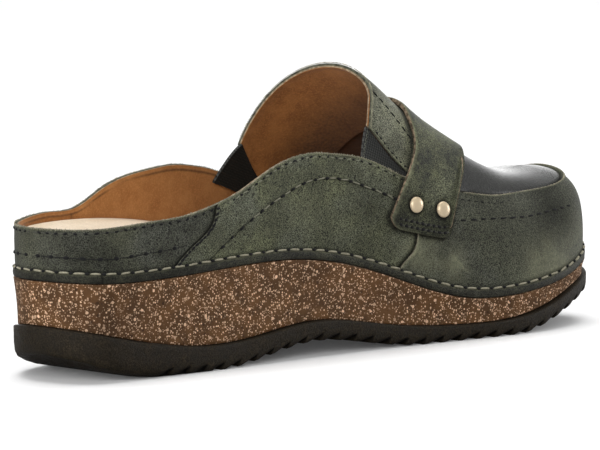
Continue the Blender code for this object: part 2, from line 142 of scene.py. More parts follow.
@dataclass(frozen=True)
class Last:
    """The shoe's lasted shape: plan outline, sole heights and the sections that the leather lies on."""

    length: float = 0.262
    ball_width: float = 0.098
    heel_stack: float = 0.0405
    upper_height: float = 0.075
    heel_spot: float = 0.052
    welt_margin: float = 0.0017
    cork_taper: float = 0.0012
    rand_lean: float = 0.0004
    rand_height: float = 0.0042
    upper_setback: float = 0.0003
    upper_bulge: float = 0.0020
    gap: float = 0.0003
    inner_plan: Curve = Curve(OUTLINE_X, (0.000, 0.245, 0.300, 0.325, 0.340, 0.360, 0.395, 0.442, 0.482,
                                          0.500, 0.463, 0.370, 0.145), True)
    outer_plan: Curve = Curve(OUTLINE_X, (0.000, 0.200, 0.310, 0.350, 0.380, 0.425, 0.480, 0.510, 0.505,
                                          0.445, 0.315, 0.105, -0.145), True)
    tread: Curve = Curve(HEIGHT_X, (0.225, 0.085, -0.010, 0.030, 0.150, 0.040, -0.020, 0.010, 0.235, 0.370))
    ledge: Curve = Curve(HEIGHT_X, (0.505, 0.415, 0.260, 0.255, 0.340, 0.225, 0.150, 0.190, 0.400, 0.520))
    cork_inner: Curve = Curve(HEIGHT_X, (0.915, 0.890, 0.895, 0.930, 0.905, 0.690, 0.410, 0.390, 0.525,
                                         0.685))
    cork_outer: Curve = Curve(HEIGHT_X, (0.915, 0.890, 0.885, 0.890, 0.840, 0.650, 0.410, 0.390, 0.525,
                                         0.685))
    insole: Curve = Curve(HEIGHT_X, (1.335, 1.335, 1.325, 1.250, 1.090, 0.860, 0.620, 0.580, 0.680, 0.810))
    ridge_x: Curve = Curve(LAST_X, (0.20, 0.22, 0.27, 0.36, 0.50, 0.57, 0.65, 0.73, 0.80, 0.865, 0.903,
                                    0.915))
    ridge_y: Curve = Curve(LAST_X, (0.00, 0.00, 0.00, -0.04, -0.09, -0.10, -0.10, -0.10, -0.11, -0.125,
                                    -0.14, -0.145))
    ridge_z: Curve = Curve(LAST_X, (1.034, 1.051, 1.043, 1.010, 1.013, 1.024, 0.902, 0.758, 0.609, 0.499,
                                    0.437, 0.386))
    rise: Curve = Curve(LAST_X, (0.60, 0.60, 0.60, 0.56, 0.52, 0.50, 0.52, 0.60, 0.70, 0.79, 0.84, 0.86))
    crown_inner: Curve = Curve(LAST_X, (0.60, 0.60, 0.60, 0.70, 0.78, 0.78, 0.72, 0.66, 0.65, 0.69, 0.74,
                                        0.76))
    crown_outer: Curve = Curve(LAST_X, (0.60, 0.60, 0.60, 0.60, 0.50, 0.48, 0.50, 0.55, 0.60, 0.68, 0.74,
                                        0.76))
    collar_inner: Curve = Curve(COLLAR_X, (0.200, 0.216, 0.231, 0.238, 0.265, 0.312, 0.388, 0.452, 0.480,
                                           0.492, 0.505, 0.483, 0.482, 0.481, 0.458, 0.443, 0.414, 0.381,
                                           0.361))
    collar_outer: Curve = Curve(COLLAR_X, (0.200, 0.216, 0.231, 0.235, 0.309, 0.359, 0.383, 0.403, 0.402,
                                           0.399, 0.381, 0.378, 0.421, 0.462, 0.458, 0.443, 0.414, 0.381,
                                           0.361))

    def pick(self, side: Array, inner: Curve, outer: Curve, share: Array) -> Array:
        """Value of the inner or the outer side's curve."""
        return np.where(side < 0, inner.at(share), outer.at(share))

    def plan(self, angle: Array, side: Array, inset: Array | float = 0.0) -> Array:
        """Points of the sole's plan outline, moved inwards.

        Args:
            angle: station angles.
            side: -1 or 1 for each station.
            inset: distance inwards from the outline.

        Returns:
            Points with x and y.
        """
        def outline(at: Array) -> Array:
            share = to_share(at)
            across = side * self.pick(side, self.inner_plan, self.outer_plan, share)
            return np.stack([self.length * share - self.heel_spot, self.ball_width * across], -1)

        small = 1e-4
        along = unit(outline(np.clip(angle + small, 0, np.pi)) - outline(np.clip(angle - small, 0, np.pi)))
        inward = -side[..., None] * np.stack([-along[..., 1], along[..., 0]], -1)
        return outline(angle) + np.broadcast_to(inset, angle.shape)[..., None] * inward

    def cork_top(self, share: Array, side: Array) -> Array:
        """Height of the cork's top edge above the floor."""
        return self.heel_stack * self.pick(side, self.cork_inner, self.cork_outer, share)

    def seam(self, share: Array, side: Array) -> Array:
        """Height of the seam between rand and upper above the floor."""
        return self.cork_top(share, side) + self.rand_height

    def controls(self, angle: Array, side: Array) -> tuple[Array, Array, Array, Array]:
        """The four control points of the section curve at each station."""
        share = to_share(angle)
        inset = self.welt_margin - self.cork_taper + self.rand_lean + self.upper_setback
        foot = self.plan(angle, side, inset)
        low = self.seam(share, side) + self.gap
        base = (self.seam(share, -np.ones_like(share)) + self.seam(share, np.ones_like(share))) / 2
        top = np.stack([self.length * self.ridge_x.at(share) - self.heel_spot,
                        self.ball_width * self.ridge_y.at(share),
                        base + self.upper_height * self.ridge_z.at(share)], -1)
        out = foot - top[..., :2]
        rise = self.rise.at(share) * (top[..., 2] - low)
        start = np.concatenate([foot, low[..., None]], -1)
        first = np.concatenate([foot + self.upper_bulge * unit(out), (low + rise)[..., None]], -1)
        crown = top[..., :2] + self.pick(side, self.crown_inner, self.crown_outer, share)[..., None] * out
        return start, first, np.concatenate([crown, top[..., 2:]], -1), top

    def point(self, angle: Array, girth: Array, side: Array) -> Array:
        """Points of the last's surface."""
        start, first, second, top = self.controls(angle, side)
        part = girth[..., None]
        rest = 1 - part
        return (rest ** 3 * start + 3 * rest ** 2 * part * first + 3 * rest * part ** 2 * second
                + part ** 3 * top)

    def normal(self, angle: Array, girth: Array, side: Array) -> Array:
        """Outward directions of the last's surface."""
        small = 1e-3
        angle = np.clip(angle, 2 * small, np.pi - 2 * small)
        girth = np.clip(girth, -1, 1 - small)
        along = self.point(angle + small, girth, side) - self.point(angle - small, girth, side)
        up = self.point(angle, girth + small, side) - self.point(angle, girth - small, side)
        return unit(np.cross(along, up) * -side[..., None])

    def skin(self, angle: Array, girth: Array, side: Array, offset: Array | float = 0.0) -> Array:
        """Points at a distance outside the last's surface."""
        away = np.broadcast_to(offset, angle.shape)[..., None]
        return self.point(angle, girth, side) + self.normal(angle, girth, side) * away

    def girth_at(self, angle: Array, side: Array, above: Array | float) -> Array:
        """Girth where the section stands a given height above the seam.

        Args:
            angle: station angles.
            side: -1 or 1 for each station.
            above: heights above the seam, in metres.

        Returns:
            Girth shares, slightly below 0 for heights below the seam.
        """
        share = to_share(angle)
        start, _, _, top = self.controls(angle, side)
        handle = 3 * self.rise.at(share)
        want = np.broadcast_to(above, angle.shape) / (top[..., 2] - start[..., 2])
        low, high = np.zeros_like(want), np.ones_like(want)
        for _ in range(26):
            middle = (low + high) / 2
            rest = 1 - middle
            value = handle * middle * rest ** 2 + 3 * middle ** 2 * rest + middle ** 3
            low, high = np.where(value < want, middle, low), np.where(value < want, high, middle)
        return np.where(want < 0, want / handle, (low + high) / 2)

    def reach(self, angle: Array, girth: Array, side: Array) -> Array:
        """Metres along the section for one unit of girth."""
        small = 1e-3
        run = self.point(angle, girth + small, side) - self.point(angle, girth - small, side)
        return np.linalg.norm(run, axis=-1) / (2 * small)

    def moved(self, angle: Array, girth: Array, side: Array, distance: Array | float) -> Array:
        """Girth at a distance further up the section."""
        return girth + distance / self.reach(angle, girth, side)

    def rim_height(self, share: Array, side: Array) -> Array:
        """Height of the side wall's top edge above the seam."""
        return self.upper_height * self.pick(side, self.collar_inner, self.collar_outer, share)

    def rim(self, angle: Array, side: Array) -> Array:
        """Girth of the side wall's top edge: collar, quarter top, then the plug's seam."""
        return self.girth_at(angle, side, self.rim_height(to_share(angle), side))

    def below_rim(self, angle: Array, side: Array, distance: Array | float) -> Array:
        """Girth at a distance below the side wall's top edge."""
        return self.moved(angle, self.rim(angle, side), side, -distance)

    def past_rim(self, angle: Array, girth: Array, side: Array) -> Array:
        """Millimetres above the side wall's top edge."""
        rim = self.rim(angle, side)
        return (girth - rim) * self.reach(angle, rim, side) * 1000


LAST = Last()


@dataclass(frozen=True)
class Track:
    """A line on the shoe: points with outward and along directions."""

    points: Array
    outward: Array

    @cached_property
    def along(self) -> Array:
        """Unit direction of travel at each point."""
        return unit(np.gradient(self.points, axis=0))

    @cached_property
    def travel(self) -> Array:
        """Metres from the start to each point."""
        steps = np.linalg.norm(np.diff(self.points, axis=0), axis=1)
        return np.concatenate([[0.0], np.cumsum(steps)])

    def places(self, pitch: float, start: float = 0.0, stop: float = 0.0) -> Places:
        """Evenly spaced points with their directions.

        Args:
            pitch: metres between the points, rounded so that they fill the line.
            start: metres left free at the start.
            stop: metres left free at the end.

        Returns:
            Points, directions of travel and outward directions.
        """
        room = self.travel[-1] - start - stop
        count = max(int(round(room / pitch)), 1)
        where = start + (np.arange(count) + 0.5) * room / count
        read = [np.stack([np.interp(where, self.travel, row) for row in values.T], -1)
                for values in (self.points, self.along, self.outward)]
        return read[0], unit(read[1]), unit(read[2])

    def signed(self, points: Array) -> tuple[Array, Array]:
        """Distance across the line and distance past its ends.

        Args:
            points: places on the shoe's surface.

        Returns:
            Metres across the line, positive to the left of its travel seen from outside, and metres
            past its nearer end.
        """
        nearest = np.empty(len(points), int)
        for start in range(0, len(points), 4000):
            part = points[start:start + 4000]
            gap = ((part[:, None, :] - self.points[None, :, :]) ** 2).sum(-1)
            nearest[start:start + 4000] = gap.argmin(1)
        away = points - self.points[nearest]
        across = unit(np.cross(self.outward, self.along))[nearest]
        past = np.abs((away * self.along[nearest]).sum(-1))
        spacing = self.travel[-1] / len(self.points)
        return (away * across).sum(-1), np.maximum(past - spacing, 0)


def lay_track(angle: Array, girth: Array, side: Array, offset: float = 0.0) -> Track:
    """Line through places on the last, at a distance outside it."""
    return Track(LAST.skin(angle, girth, side, offset), LAST.normal(angle, girth, side))


@dataclass(frozen=True)
class Seam:
    """A line on the side of the upper, read on the inner side and carried over to the outer one.

    Attributes:
        shares: shares of the length.
        heights: millimetres above the rand's seam at each share.
    """

    shares: tuple[float, ...]
    heights: tuple[float, ...]

    def place(self, side: float, count: int = 260) -> tuple[Array, Array]:
        """Station angles and girths along the line on one side."""
        rows = np.stack([np.array(self.shares) * LAST.length * 1000, np.array(self.heights)], -1)
        run = np.concatenate([[0.0], np.cumsum(np.linalg.norm(np.diff(rows, axis=0), axis=1))])
        where = np.linspace(0, run[-1], count)
        knots = tuple(run)
        share = Curve(knots, self.shares).at(where)
        height = Curve(knots, self.heights).at(where) * MM
        angle = to_angle(share)
        inner = -np.ones_like(angle)
        part = LAST.girth_at(angle, inner, height) / LAST.rim(angle, inner)
        return angle, part * LAST.rim(angle, np.full_like(angle, side))

    def share_at(self, part: Array) -> Array:
        """Share of the length where the line crosses a part of the wall's height, 0 rand to 1 rim."""
        angle, girth = self.place(-1.0)
        level = girth / LAST.rim(angle, -np.ones_like(angle))
        order = np.argsort(level)
        return np.interp(part, level[order], to_share(angle)[order])

    def past(self, angle: Array, part: Array) -> Array:
        """Metres past the line towards the toe, at a part of the wall's height."""
        return (to_share(angle) - self.share_at(part)) * LAST.length

    def track(self, side: float, offset: float = 0.0) -> Track:
        """The line on one side, at a distance outside the last."""
        angle, girth = self.place(side)
        return lay_track(angle, girth, np.full_like(angle, side), offset)


class Seams:
    """The upper's seam lines."""

    rear_edge = Seam((0.168, 0.173, 0.205, 0.239, 0.2455, 0.248), (-1.0, 0.3, 6.7, 13.7, 18.4, 20.4))
    front_edge = Seam((0.573, 0.575, 0.584, 0.600, 0.606, 0.612, 0.620, 0.630),
                      (-1.0, 0.0, 3.5, 9.4, 14.7, 22.0, 30.0, 37.5))
    collar = Seam((0.231, 0.272, 0.320, 0.3735, 0.413, 0.438, 0.475, 0.513, 0.550, 0.600),
                  (0.3, 7.0, 14.0, 20.6, 24.8, 26.4, 27.5, 27.1, 26.5, 25.6))
    heel_dots = Seam((0.000, 0.010, 0.060, 0.108, 0.148, 0.188), (4.9, 4.9, 4.9, 5.6, 6.1, 6.7))
    vamp_stitch = Seam((0.662, 0.684, 0.724, 0.780, 0.823, 0.872, 0.9035, 0.925),
                       (24.3, 25.1, 26.0, 25.1, 24.0, 22.9, 21.5, 20.6))


Patch = tuple[tuple[float, float, float], float, float]
# Darker patches of the leather: those on the toe's upper end are painted shade, the others make their places
# darker.
DARK_AND_SHADED_PATCHES: tuple[Patch, ...] = (
    ((-44, -22, 46), 10, 0.50), ((-37, -27, 48), 7, 0.25), ((76, -35, 60), 8, 0.22),
    ((86, -36, 55), 9, 0.24), ((62, -34, 41), 9, 0.26), ((78, -35, 38), 10, 0.30),
    ((40, -32, 42), 8, 0.26), ((136, -44, 40), 13, 0.24), ((153, -46, 41), 12, 0.16),
    ((180, -41, 49), 13, 0.62), ((178, -45, 43), 9, 0.20), ((169, -46, 41), 9, 0.28))
RUBBED: tuple[Patch, ...] = (
    ((-51, -2, 56), 8, 0.12), ((-34, -27, 54), 6, 0.20), ((54, -33.5, 55), 7, 0.10),
    ((105, -39.5, 36), 5.5, 0.55), ((115, -41, 42), 4.0, 0.40), ((123.5, -43, 29.5), 6, 0.55),
    ((113, -40.5, 31), 5, 0.30), ((177, -47, 24), 12, 0.52), ((165, -48, 27), 11, 0.42),
    ((190, -40, 36), 8, 0.26), ((194, -36, 24), 9, 0.24))
# Painted shade on the cork, low down at the heel and along the inner side.
CORK_SHADE_PATCHES: tuple[Patch, ...] = (
    ((-38, -25, 20), 13, 0.40), ((-20, -32, 18), 11, 0.16), ((-48, -12, 30), 8, 0.15),
    ((60, -34, 28), 12, 0.12), ((95, -39, 20), 14, 0.14))


def patches(points: Array, table: Sequence[Patch]) -> Array:
    """Strength of soft patches at points of either side of the shoe.

    Args:
        points: places on the shoe.
        table: centre in millimetres on the inner side, reach in millimetres and strength of each patch.

    Returns:
        The summed strength, 0 to 1.
    """
    folded = points * 1000
    folded = np.stack([folded[:, 0], -np.abs(folded[:, 1]), folded[:, 2]], -1)
    total = np.zeros(len(points))
    for centre, reach, strength in table:
        total += strength * np.exp(-(np.linalg.norm(folded - np.array(centre), axis=1) / reach) ** 2)
    return np.clip(total, 0, 1)


def strap_shadow(points: Array) -> Array:
    """Painted contact shadow where the strap's edge lies on the leather, 0 to 1."""
    outline = Strap().outline()
    marks = np.empty(len(points))
    for start in range(0, len(points), 3000):
        gap = np.linalg.norm(points[start:start + 3000, None] - outline[None], axis=-1).min(1)
        marks[start:start + 3000] = 0.85 * np.exp(-(gap / 0.0013) ** 2)
    return marks


@dataclass
class Layer:
    """What a grid is laid to: one entry for each of its points.

    Attributes:
        points: places.
        outward: directions away from the shoe.
        marks: named values for the materials, such as rubbed edges and darkening; the darkening is dark seams
            and dirt and also painted shade and shadow.
        flat: pattern coordinates along and across the piece, in metres.
    """

    points: Array
    outward: Array
    marks: dict[str, Array] = field(default_factory=dict)
    flat: Array | None = None


def worn(points: Array, outward: Array, rubbed: Array, dirt_and_shade: Array) -> Layer:
    """A layer with its rubbed and darkening marks held between 0 and 1; the darkening is dark seams and dirt
    and also painted shade and shadow.
    """
    return Layer(points, outward, {"rubbed": np.clip(rubbed, 0, 1), "dirt_and_shade": np.clip(dirt_and_shade, 0, 1)})


def add_object(name: str, data: bpy.types.ID) -> bpy.types.Object:
    """A new object of the scene, at the origin."""
    made = bpy.data.objects.new(name, data)
    bpy.context.scene.collection.objects.link(made)
    return made


def make_sheet(name: str, columns: int, rows: int, lay: Callable[[Array, Array], Layer],
               weld: float = 0.0, closed: bool = False) -> bpy.types.Object:
    """A grid laid to a surface.

    Args:
        name: the piece's name.
        columns: faces along.
        rows: faces across.
        lay: gives the layer for arrays of places along and across, both 0 to 1.
        weld: distance under which points are merged, 0 for none.
        closed: a welded body, whose faces are turned outwards.

    Returns:
        The piece, with no material.
    """
    work = bmesh.new()
    bmesh.ops.create_grid(work, x_segments=columns, y_segments=rows, size=0.5)
    mesh = bpy.data.meshes.new(name)
    work.to_mesh(mesh)
    work.free()
    co = np.empty(len(mesh.vertices) * 3)
    mesh.vertices.foreach_get("co", co)
    co = co.reshape(-1, 3)
    layer = lay(np.clip(co[:, 0] + 0.5, 0, 1), np.clip(co[:, 1] + 0.5, 0, 1))
    mesh.vertices.foreach_set("co", np.ascontiguousarray(layer.points).ravel())
    for mark, values in layer.marks.items():
        data = mesh.attributes.new(mark, "FLOAT", "POINT").data
        data.foreach_set("value", np.ascontiguousarray(values, dtype=np.float32))
    if layer.flat is not None:
        corners = np.empty(len(mesh.loops), int)
        mesh.loops.foreach_get("vertex_index", corners)
        pattern = mesh.uv_layers.new(name="pattern")
        pattern.data.foreach_set("uv", np.ascontiguousarray(layer.flat[corners]).ravel())
    mesh.update()
    facing = np.empty(len(mesh.vertices) * 3)
    mesh.vertices.foreach_get("normal", facing)
    turned = (facing.reshape(-1, 3) * layer.outward).sum() < 0
    if weld or turned:
        work = bmesh.new()
        work.from_mesh(mesh)
        if weld:
            bmesh.ops.remove_doubles(work, verts=work.verts, dist=weld)
            bmesh.ops.dissolve_degenerate(work, dist=1e-6, edges=work.edges)
        if turned:
            bmesh.ops.reverse_faces(work, faces=work.faces)
        if closed:
            bmesh.ops.recalc_face_normals(work, faces=work.faces)
        work.to_mesh(mesh)
        work.free()
    mesh.shade_smooth()
    return add_object(name, mesh)


def add_wall(piece: bpy.types.Object, wall: float, edge: float, back: int = 0, rim: int = 0) -> None:
    """Give a sheet its wall, inwards, with softened edges.

    Args:
        piece: the sheet.
        wall: its thickness.
        edge: how far its edges are rounded.
        back: material slot of its inner face.
        rim: material slot of its cut edge.
    """
    solid = piece.modifiers.new("wall", "SOLIDIFY")
    solid.thickness = wall
    solid.offset = -1
    solid.material_offset = back
    solid.material_offset_rim = rim
    if edge > 0:
        soft = piece.modifiers.new("edge", "BEVEL")
        soft.width = edge
        soft.segments = 3
        soft.limit_method = "ANGLE"
        soft.angle_limit = math.radians(50)
        soft.use_clamp_overlap = False


def dress(piece: bpy.types.Object, slot: str, *materials: bpy.types.Material,
          stands_for: Sequence[str] = ()) -> None:
    """Put a piece on the shoe: its materials and the nodes that it stands for."""
    piece.data.materials.clear()
    for material in materials:
        piece.data.materials.append(material)
    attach(piece, "root")
    if stands_for:
        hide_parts(*stands_for)
    LOG.info("%s: %d faces", piece.name, len(piece.data.polygons))


class Bead(Enum):
    """Forms of the small things that are set in rows, with their sides and rings."""

    THREAD = (10, 8)
    HOLE = (12, 4)
    FIBRE = (4, 4)


def bead_shape(form: Bead, size: tuple[float, float, float]) -> tuple[Array, list[tuple[int, ...]]]:
    """Points and faces of one bead, x along, y across, z outwards.

    Args:
        form: a length of thread, a needle hole or a fibre.
        size: length along, width across and height outwards.

    Returns:
        Its points and its faces.
    """
    work = bmesh.new()
    sides, rings = form.value
    turn = Matrix.Identity(4) if form is Bead.HOLE else Matrix.Rotation(math.radians(90), 4, "Y")
    bmesh.ops.create_uvsphere(work, u_segments=sides, v_segments=rings, radius=1.0, matrix=turn)
    work.verts.ensure_lookup_table()
    points = np.array([vertex.co for vertex in work.verts])
    faces = [tuple(vertex.index for vertex in face.verts) for face in work.faces]
    work.free()
    if form is Bead.THREAD:
        along = np.sign(points[:, 0]) * np.abs(points[:, 0]) ** 0.55
        points[:, 0] = along
        points[:, 2] -= 0.9 * along ** 4
    return points * (np.array(size) * (0.5, 0.5, 1.0)), faces


def make_row(name: str, form: Bead, places: Sequence[Places], size: tuple[float, float, float],
             jitter: float) -> bpy.types.Object:
    """A row of stitches, holes or fibres as one mesh.

    Args:
        name: the piece's name.
        form: what is set in the row.
        places: points, directions of travel and outward directions, one entry for each line.
        size: length along the line, width across it and height outwards.
        jitter: spread of their slants about the outward direction, in degrees.

    Returns:
        The joined piece.
    """
    shape, faces = bead_shape(form, size)
    origin, along, outward = (np.concatenate(entries) for entries in zip(*places))
    along = unit(along - outward * (along * outward).sum(-1, keepdims=True))
    across = np.cross(outward, along)
    chance = np.random.default_rng(len(origin))
    turn = np.radians(jitter * chance.normal(size=(len(origin), 1)))
    stretch = 1 + min(jitter, 10) * 0.012 * chance.normal(size=(len(origin), 1))
    first = (along * np.cos(turn) + across * np.sin(turn)) * stretch
    second = across * np.cos(turn) - along * np.sin(turn)
    body = (origin[:, None] + shape[None, :, :1] * first[:, None] + shape[None, :, 1:2] * second[:, None]
            + shape[None, :, 2:] * outward[:, None])
    mesh = bpy.data.meshes.new(name)
    starts = range(0, len(origin) * len(shape), len(shape))
    every = [tuple(index + start for index in face) for start in starts for face in faces]
    mesh.from_pydata(body.reshape(-1, 3).tolist(), [], every)
    mesh.shade_smooth()
    return add_object(name, mesh)


def dress_rows(slot: str, *rows: tuple[str, Bead, Sequence[Places], tuple[float, float, float], float,
                                       bpy.types.Material]) -> None:
    """Make and dress rows, each with its name, form, places, size, jitter and material."""
    for name, form, places, size, jitter, material in rows:
        dress(make_row(name, form, places, size, jitter), slot, material)


class Tree:
    """Short hand for a node tree."""

    def __init__(self, tree: bpy.types.NodeTree) -> None:
        """Take the tree that is built."""
        self.tree = tree

    def add(self, kind: str, inputs: dict[str | int, object] | None = None,
            **settings: object) -> bpy.types.Node:
        """A node with its inputs set or linked.

        Args:
            kind: the node's type.
            inputs: a value or an output socket for each input.
            **settings: properties of the node.

        Returns:
            The node.
        """
        node = self.tree.nodes.new(kind)
        for name, value in settings.items():
            setattr(node, name, value)
        self.feed(node, inputs or {})
        return node

    def feed(self, node: bpy.types.Node, inputs: dict[str | int, object]) -> None:
        """Set a node's inputs to values or link them to output sockets."""
        for name, value in inputs.items():
            socket = node.inputs[name]
            if isinstance(value, bpy.types.NodeSocket):
                self.tree.links.new(value, socket)
            elif isinstance(value, tuple) and socket.type == "RGBA":
                socket.default_value = (*value[:3], 1.0)
            else:
                socket.default_value = value

    def place(self) -> bpy.types.NodeSocket:
        """Object coordinates."""
        return self.add("ShaderNodeTexCoord").outputs["Object"]

    def mark(self, name: str) -> bpy.types.NodeSocket:
        """A named value that the piece carries."""
        return self.add("ShaderNodeAttribute", attribute_name=name).outputs["Fac"]

    def effect(self, group: bpy.types.NodeTree, inputs: dict[str, object]) -> bpy.types.bpy_prop_collection:
        """Outputs of a shared effect."""
        return self.add("ShaderNodeGroup", inputs, node_tree=group).outputs

    def bump(self, height: bpy.types.NodeSocket, depth: float) -> bpy.types.NodeSocket:
        """Normal of a height of the given depth in metres."""
        inputs = {"Height": height, "Distance": depth, "Strength": 1.0}
        return self.add("ShaderNodeBump", inputs).outputs["Normal"]

    def noise(self, vector: bpy.types.NodeSocket, scale: float | bpy.types.NodeSocket, detail: float = 3.0,
              rough: float = 0.55) -> bpy.types.NodeSocket:
        """Noise value at a scale, in waves to the metre."""
        inputs = {"Vector": vector, "Scale": scale, "Detail": detail, "Roughness": rough}
        return self.add("ShaderNodeTexNoise", inputs).outputs["Fac"]

    def math(self, operation: str, first: object, second: object = 0.0) -> bpy.types.NodeSocket:
        """Arithmetic on two values."""
        return self.add("ShaderNodeMath", {0: first, 1: second}, operation=operation).outputs[0]

    def span(self, value: object, low: float, high: float, start: float = 0.0,
             end: float = 1.0) -> bpy.types.NodeSocket:
        """A value mapped from one range to another and held there."""
        inputs = {"Value": value, "From Min": low, "From Max": high, "To Min": start, "To Max": end}
        return self.add("ShaderNodeMapRange", inputs).outputs["Result"]

    def mix(self, share: object, first: object, second: object, blend: str = "MIX") -> bpy.types.NodeSocket:
        """Two colours mixed by a share."""
        inputs = {0: share, 6: first, 7: second}
        return self.add("ShaderNodeMix", inputs, data_type="RGBA", blend_type=blend).outputs[2]


def new_group(name: str, inputs: dict[str, tuple[str, float]],
              outputs: Sequence[str]) -> tuple[Tree, bpy.types.Node, bpy.types.Node]:
    """An empty shader node group.

    Args:
        name: the group's name.
        inputs: socket type and starting value for each input.
        outputs: names of its value outputs.

    Returns:
        Its tree, its input node and its output node.
    """
    group = bpy.data.node_groups.new(name, "ShaderNodeTree")
    for label, (kind, value) in inputs.items():
        socket = group.interface.new_socket(label, in_out="INPUT", socket_type="NodeSocket" + kind)
        if kind == "Float":
            socket.default_value = value
    for label in outputs:
        group.interface.new_socket(label, in_out="OUTPUT", socket_type="NodeSocketFloat")
    tree = Tree(group)
    return tree, tree.add("NodeGroupInput"), tree.add("NodeGroupOutput")


@cache
def hide_effect() -> bpy.types.NodeTree:
    """Grain of leather, made once: blotches, flecks and a pebbled height."""
    tree, given, out = new_group("hide", {"Vector": ("Vector", 0), "Blotch": ("Float", 70.0),
                                          "Grain": ("Float", 1300.0)}, ("Mottle", "Fleck", "Height"))
    vector, blotch, grain = given.outputs[0], given.outputs[1], given.outputs[2]
    broad = tree.noise(vector, blotch, 4.0, 0.6)
    fine = tree.noise(vector, tree.math("MULTIPLY", grain, 0.15), 3.0, 0.6)
    fleck = tree.noise(vector, grain, 2.0, 0.7)
    cells = tree.add("ShaderNodeTexVoronoi", {"Vector": vector, "Scale": tree.math("MULTIPLY", grain, 0.45)},
                     feature="F1").outputs["Distance"]
    pits = tree.span(cells, 0.15, 0.75, 1.0, 0.0)
    blots = tree.math("ADD", tree.math("MULTIPLY", broad, 0.7), tree.math("MULTIPLY", fine, 0.3))
    height = tree.math("ADD", tree.math("MULTIPLY", pits, 0.5), tree.math("MULTIPLY", fleck, 0.5))
    tree.feed(out, {"Mottle": tree.span(blots, 0.40, 0.62), "Fleck": tree.span(fleck, 0.415, 0.585),
                    "Height": height})
    return tree.tree


@cache
def wear_effect() -> bpy.types.NodeTree:
    """Rubbed edges, and dark seams and dirt together with painted shade and shadow, made once and broken up
    by noise.
    """
    tree, given, out = new_group("wear", {"Vector": ("Vector", 0), "Rubbed": ("Float", 0.0),
                                          "Dirt_and_shade": ("Float", 0.0)}, ("Pale", "Dark"))
    vector = given.outputs[0]
    break_up = tree.span(tree.noise(vector, 900.0, 4.0, 0.7), 0.35, 0.65)
    blots = tree.span(tree.noise(vector, 160.0, 3.0, 0.6), 0.30, 0.60, 0.45, 1.0)
    rubbed = tree.math("MULTIPLY", given.outputs["Rubbed"], blots)
    tree.feed(out, {"Pale": tree.math("MULTIPLY", rubbed, tree.span(break_up, 0.0, 1.0, 0.45, 1.0)),
                    "Dark": tree.math("MULTIPLY", given.outputs["Dirt_and_shade"],
                                      tree.span(break_up, 0.0, 1.0, 1.0, 0.75))})
    return tree.tree


def start_material(name: str) -> tuple[bpy.types.Material, Tree, bpy.types.Node]:
    """A fresh material with its tree and its shader."""
    material = bpy.data.materials.new(name)
    material.use_nodes = True
    tree = Tree(material.node_tree)
    return material, tree, material.node_tree.nodes["Principled BSDF"]


@dataclass(frozen=True)
class Leather:
    """Oiled nubuck with a short nap."""

    name: str
    tone: Colour
    deep: Colour
    pale: Colour = (0.275, 0.278, 0.172)
    # colour of dark seams and dirt, also used for painted shade and shadow
    dirt_and_shade_colour: Colour = (0.006, 0.006, 0.005)
    cool: float = 0.5
    roughness: float = 0.62
    sheen: float = 0.04
    specular: float = 0.20
    depth: float = 0.00016
    blotch: float = 70.0
    grain: float = 2700.0
    fleck: float = 0.95
    coat: float = 0.0

    def make(self) -> bpy.types.Material:
        """Build the material."""
        material, tree, shader = start_material(self.name)
        place = tree.place()
        hide = tree.effect(hide_effect(), {"Vector": place, "Blotch": self.blotch, "Grain": self.grain})
        wear = tree.effect(wear_effect(), {"Vector": place, "Rubbed": tree.mark("rubbed"),
                                           "Dirt_and_shade": tree.mark("dirt_and_shade")})
        red, green, blue = self.tone
        greyer = (red * 0.86, green * 0.86, blue * 1.12)
        drift = tree.span(tree.noise(place, 38.0, 2.0, 0.5), 0.42, 0.58, 0.0, self.cool)
        colour = tree.mix(hide["Mottle"], self.deep, tree.mix(drift, self.tone, greyer))
        fleck = tree.span(hide["Fleck"], 0.0, 1.0, 1 - self.fleck, 1 + self.fleck)
        colour = tree.mix(wear["Pale"], tree.mix(1.0, colour, fleck, "MULTIPLY"), self.pale)
        rough = tree.math("ADD", tree.span(hide["Fleck"], 0.0, 1.0, -0.08, 0.08), self.roughness)
        tree.feed(shader, {"Base Color": tree.mix(wear["Dark"], colour, self.dirt_and_shade_colour),
                           "Roughness": tree.math("ADD", rough, tree.math("MULTIPLY", wear["Dark"], 0.5)),
                           "Sheen Weight": self.sheen, "Sheen Roughness": 0.45,
                           "Specular IOR Level": self.specular,
                           "Normal": tree.bump(hide["Height"], self.depth)})
        if self.coat > 0:
            clear = tree.math("SUBTRACT", 1.0, wear["Dark"])
            broken = tree.span(hide["Fleck"], 0.0, 1.0, self.coat * 0.5, self.coat)
            tree.feed(shader, {"Coat Weight": tree.math("MULTIPLY", clear, broken), "Coat Roughness": 0.30})
        return material


@dataclass(frozen=True)
class Suede:
    """Lining leather, matt and even."""

    name: str
    tone: Colour
    deep: Colour
    roughness: float = 0.8
    # colour of dark seams, also used for the painted shade deep inside the shoe
    seam: Colour = (0.045, 0.018, 0.006)

    def make(self) -> bpy.types.Material:
        """Build the material."""
        material, tree, shader = start_material(self.name)
        place = tree.place()
        hide = tree.effect(hide_effect(), {"Vector": place, "Blotch": 90.0, "Grain": 1500.0})
        wear = tree.effect(wear_effect(), {"Vector": place, "Dirt_and_shade": tree.mark("dirt_and_shade")})
        light = tuple(min(value * 1.25, 1.0) for value in self.tone)
        colour = tree.mix(tree.span(hide["Fleck"], 0.5, 1.0, 0.0, 0.5),
                          tree.mix(hide["Mottle"], self.deep, self.tone), light)
        tree.feed(shader, {"Base Color": tree.mix(wear["Dark"], colour, self.seam),
                           "Roughness": self.roughness, "Sheen Weight": 0.09, "Sheen Roughness": 0.5,
                           "Specular IOR Level": 0.18, "Normal": tree.bump(hide["Height"], 0.00008)})
        return material


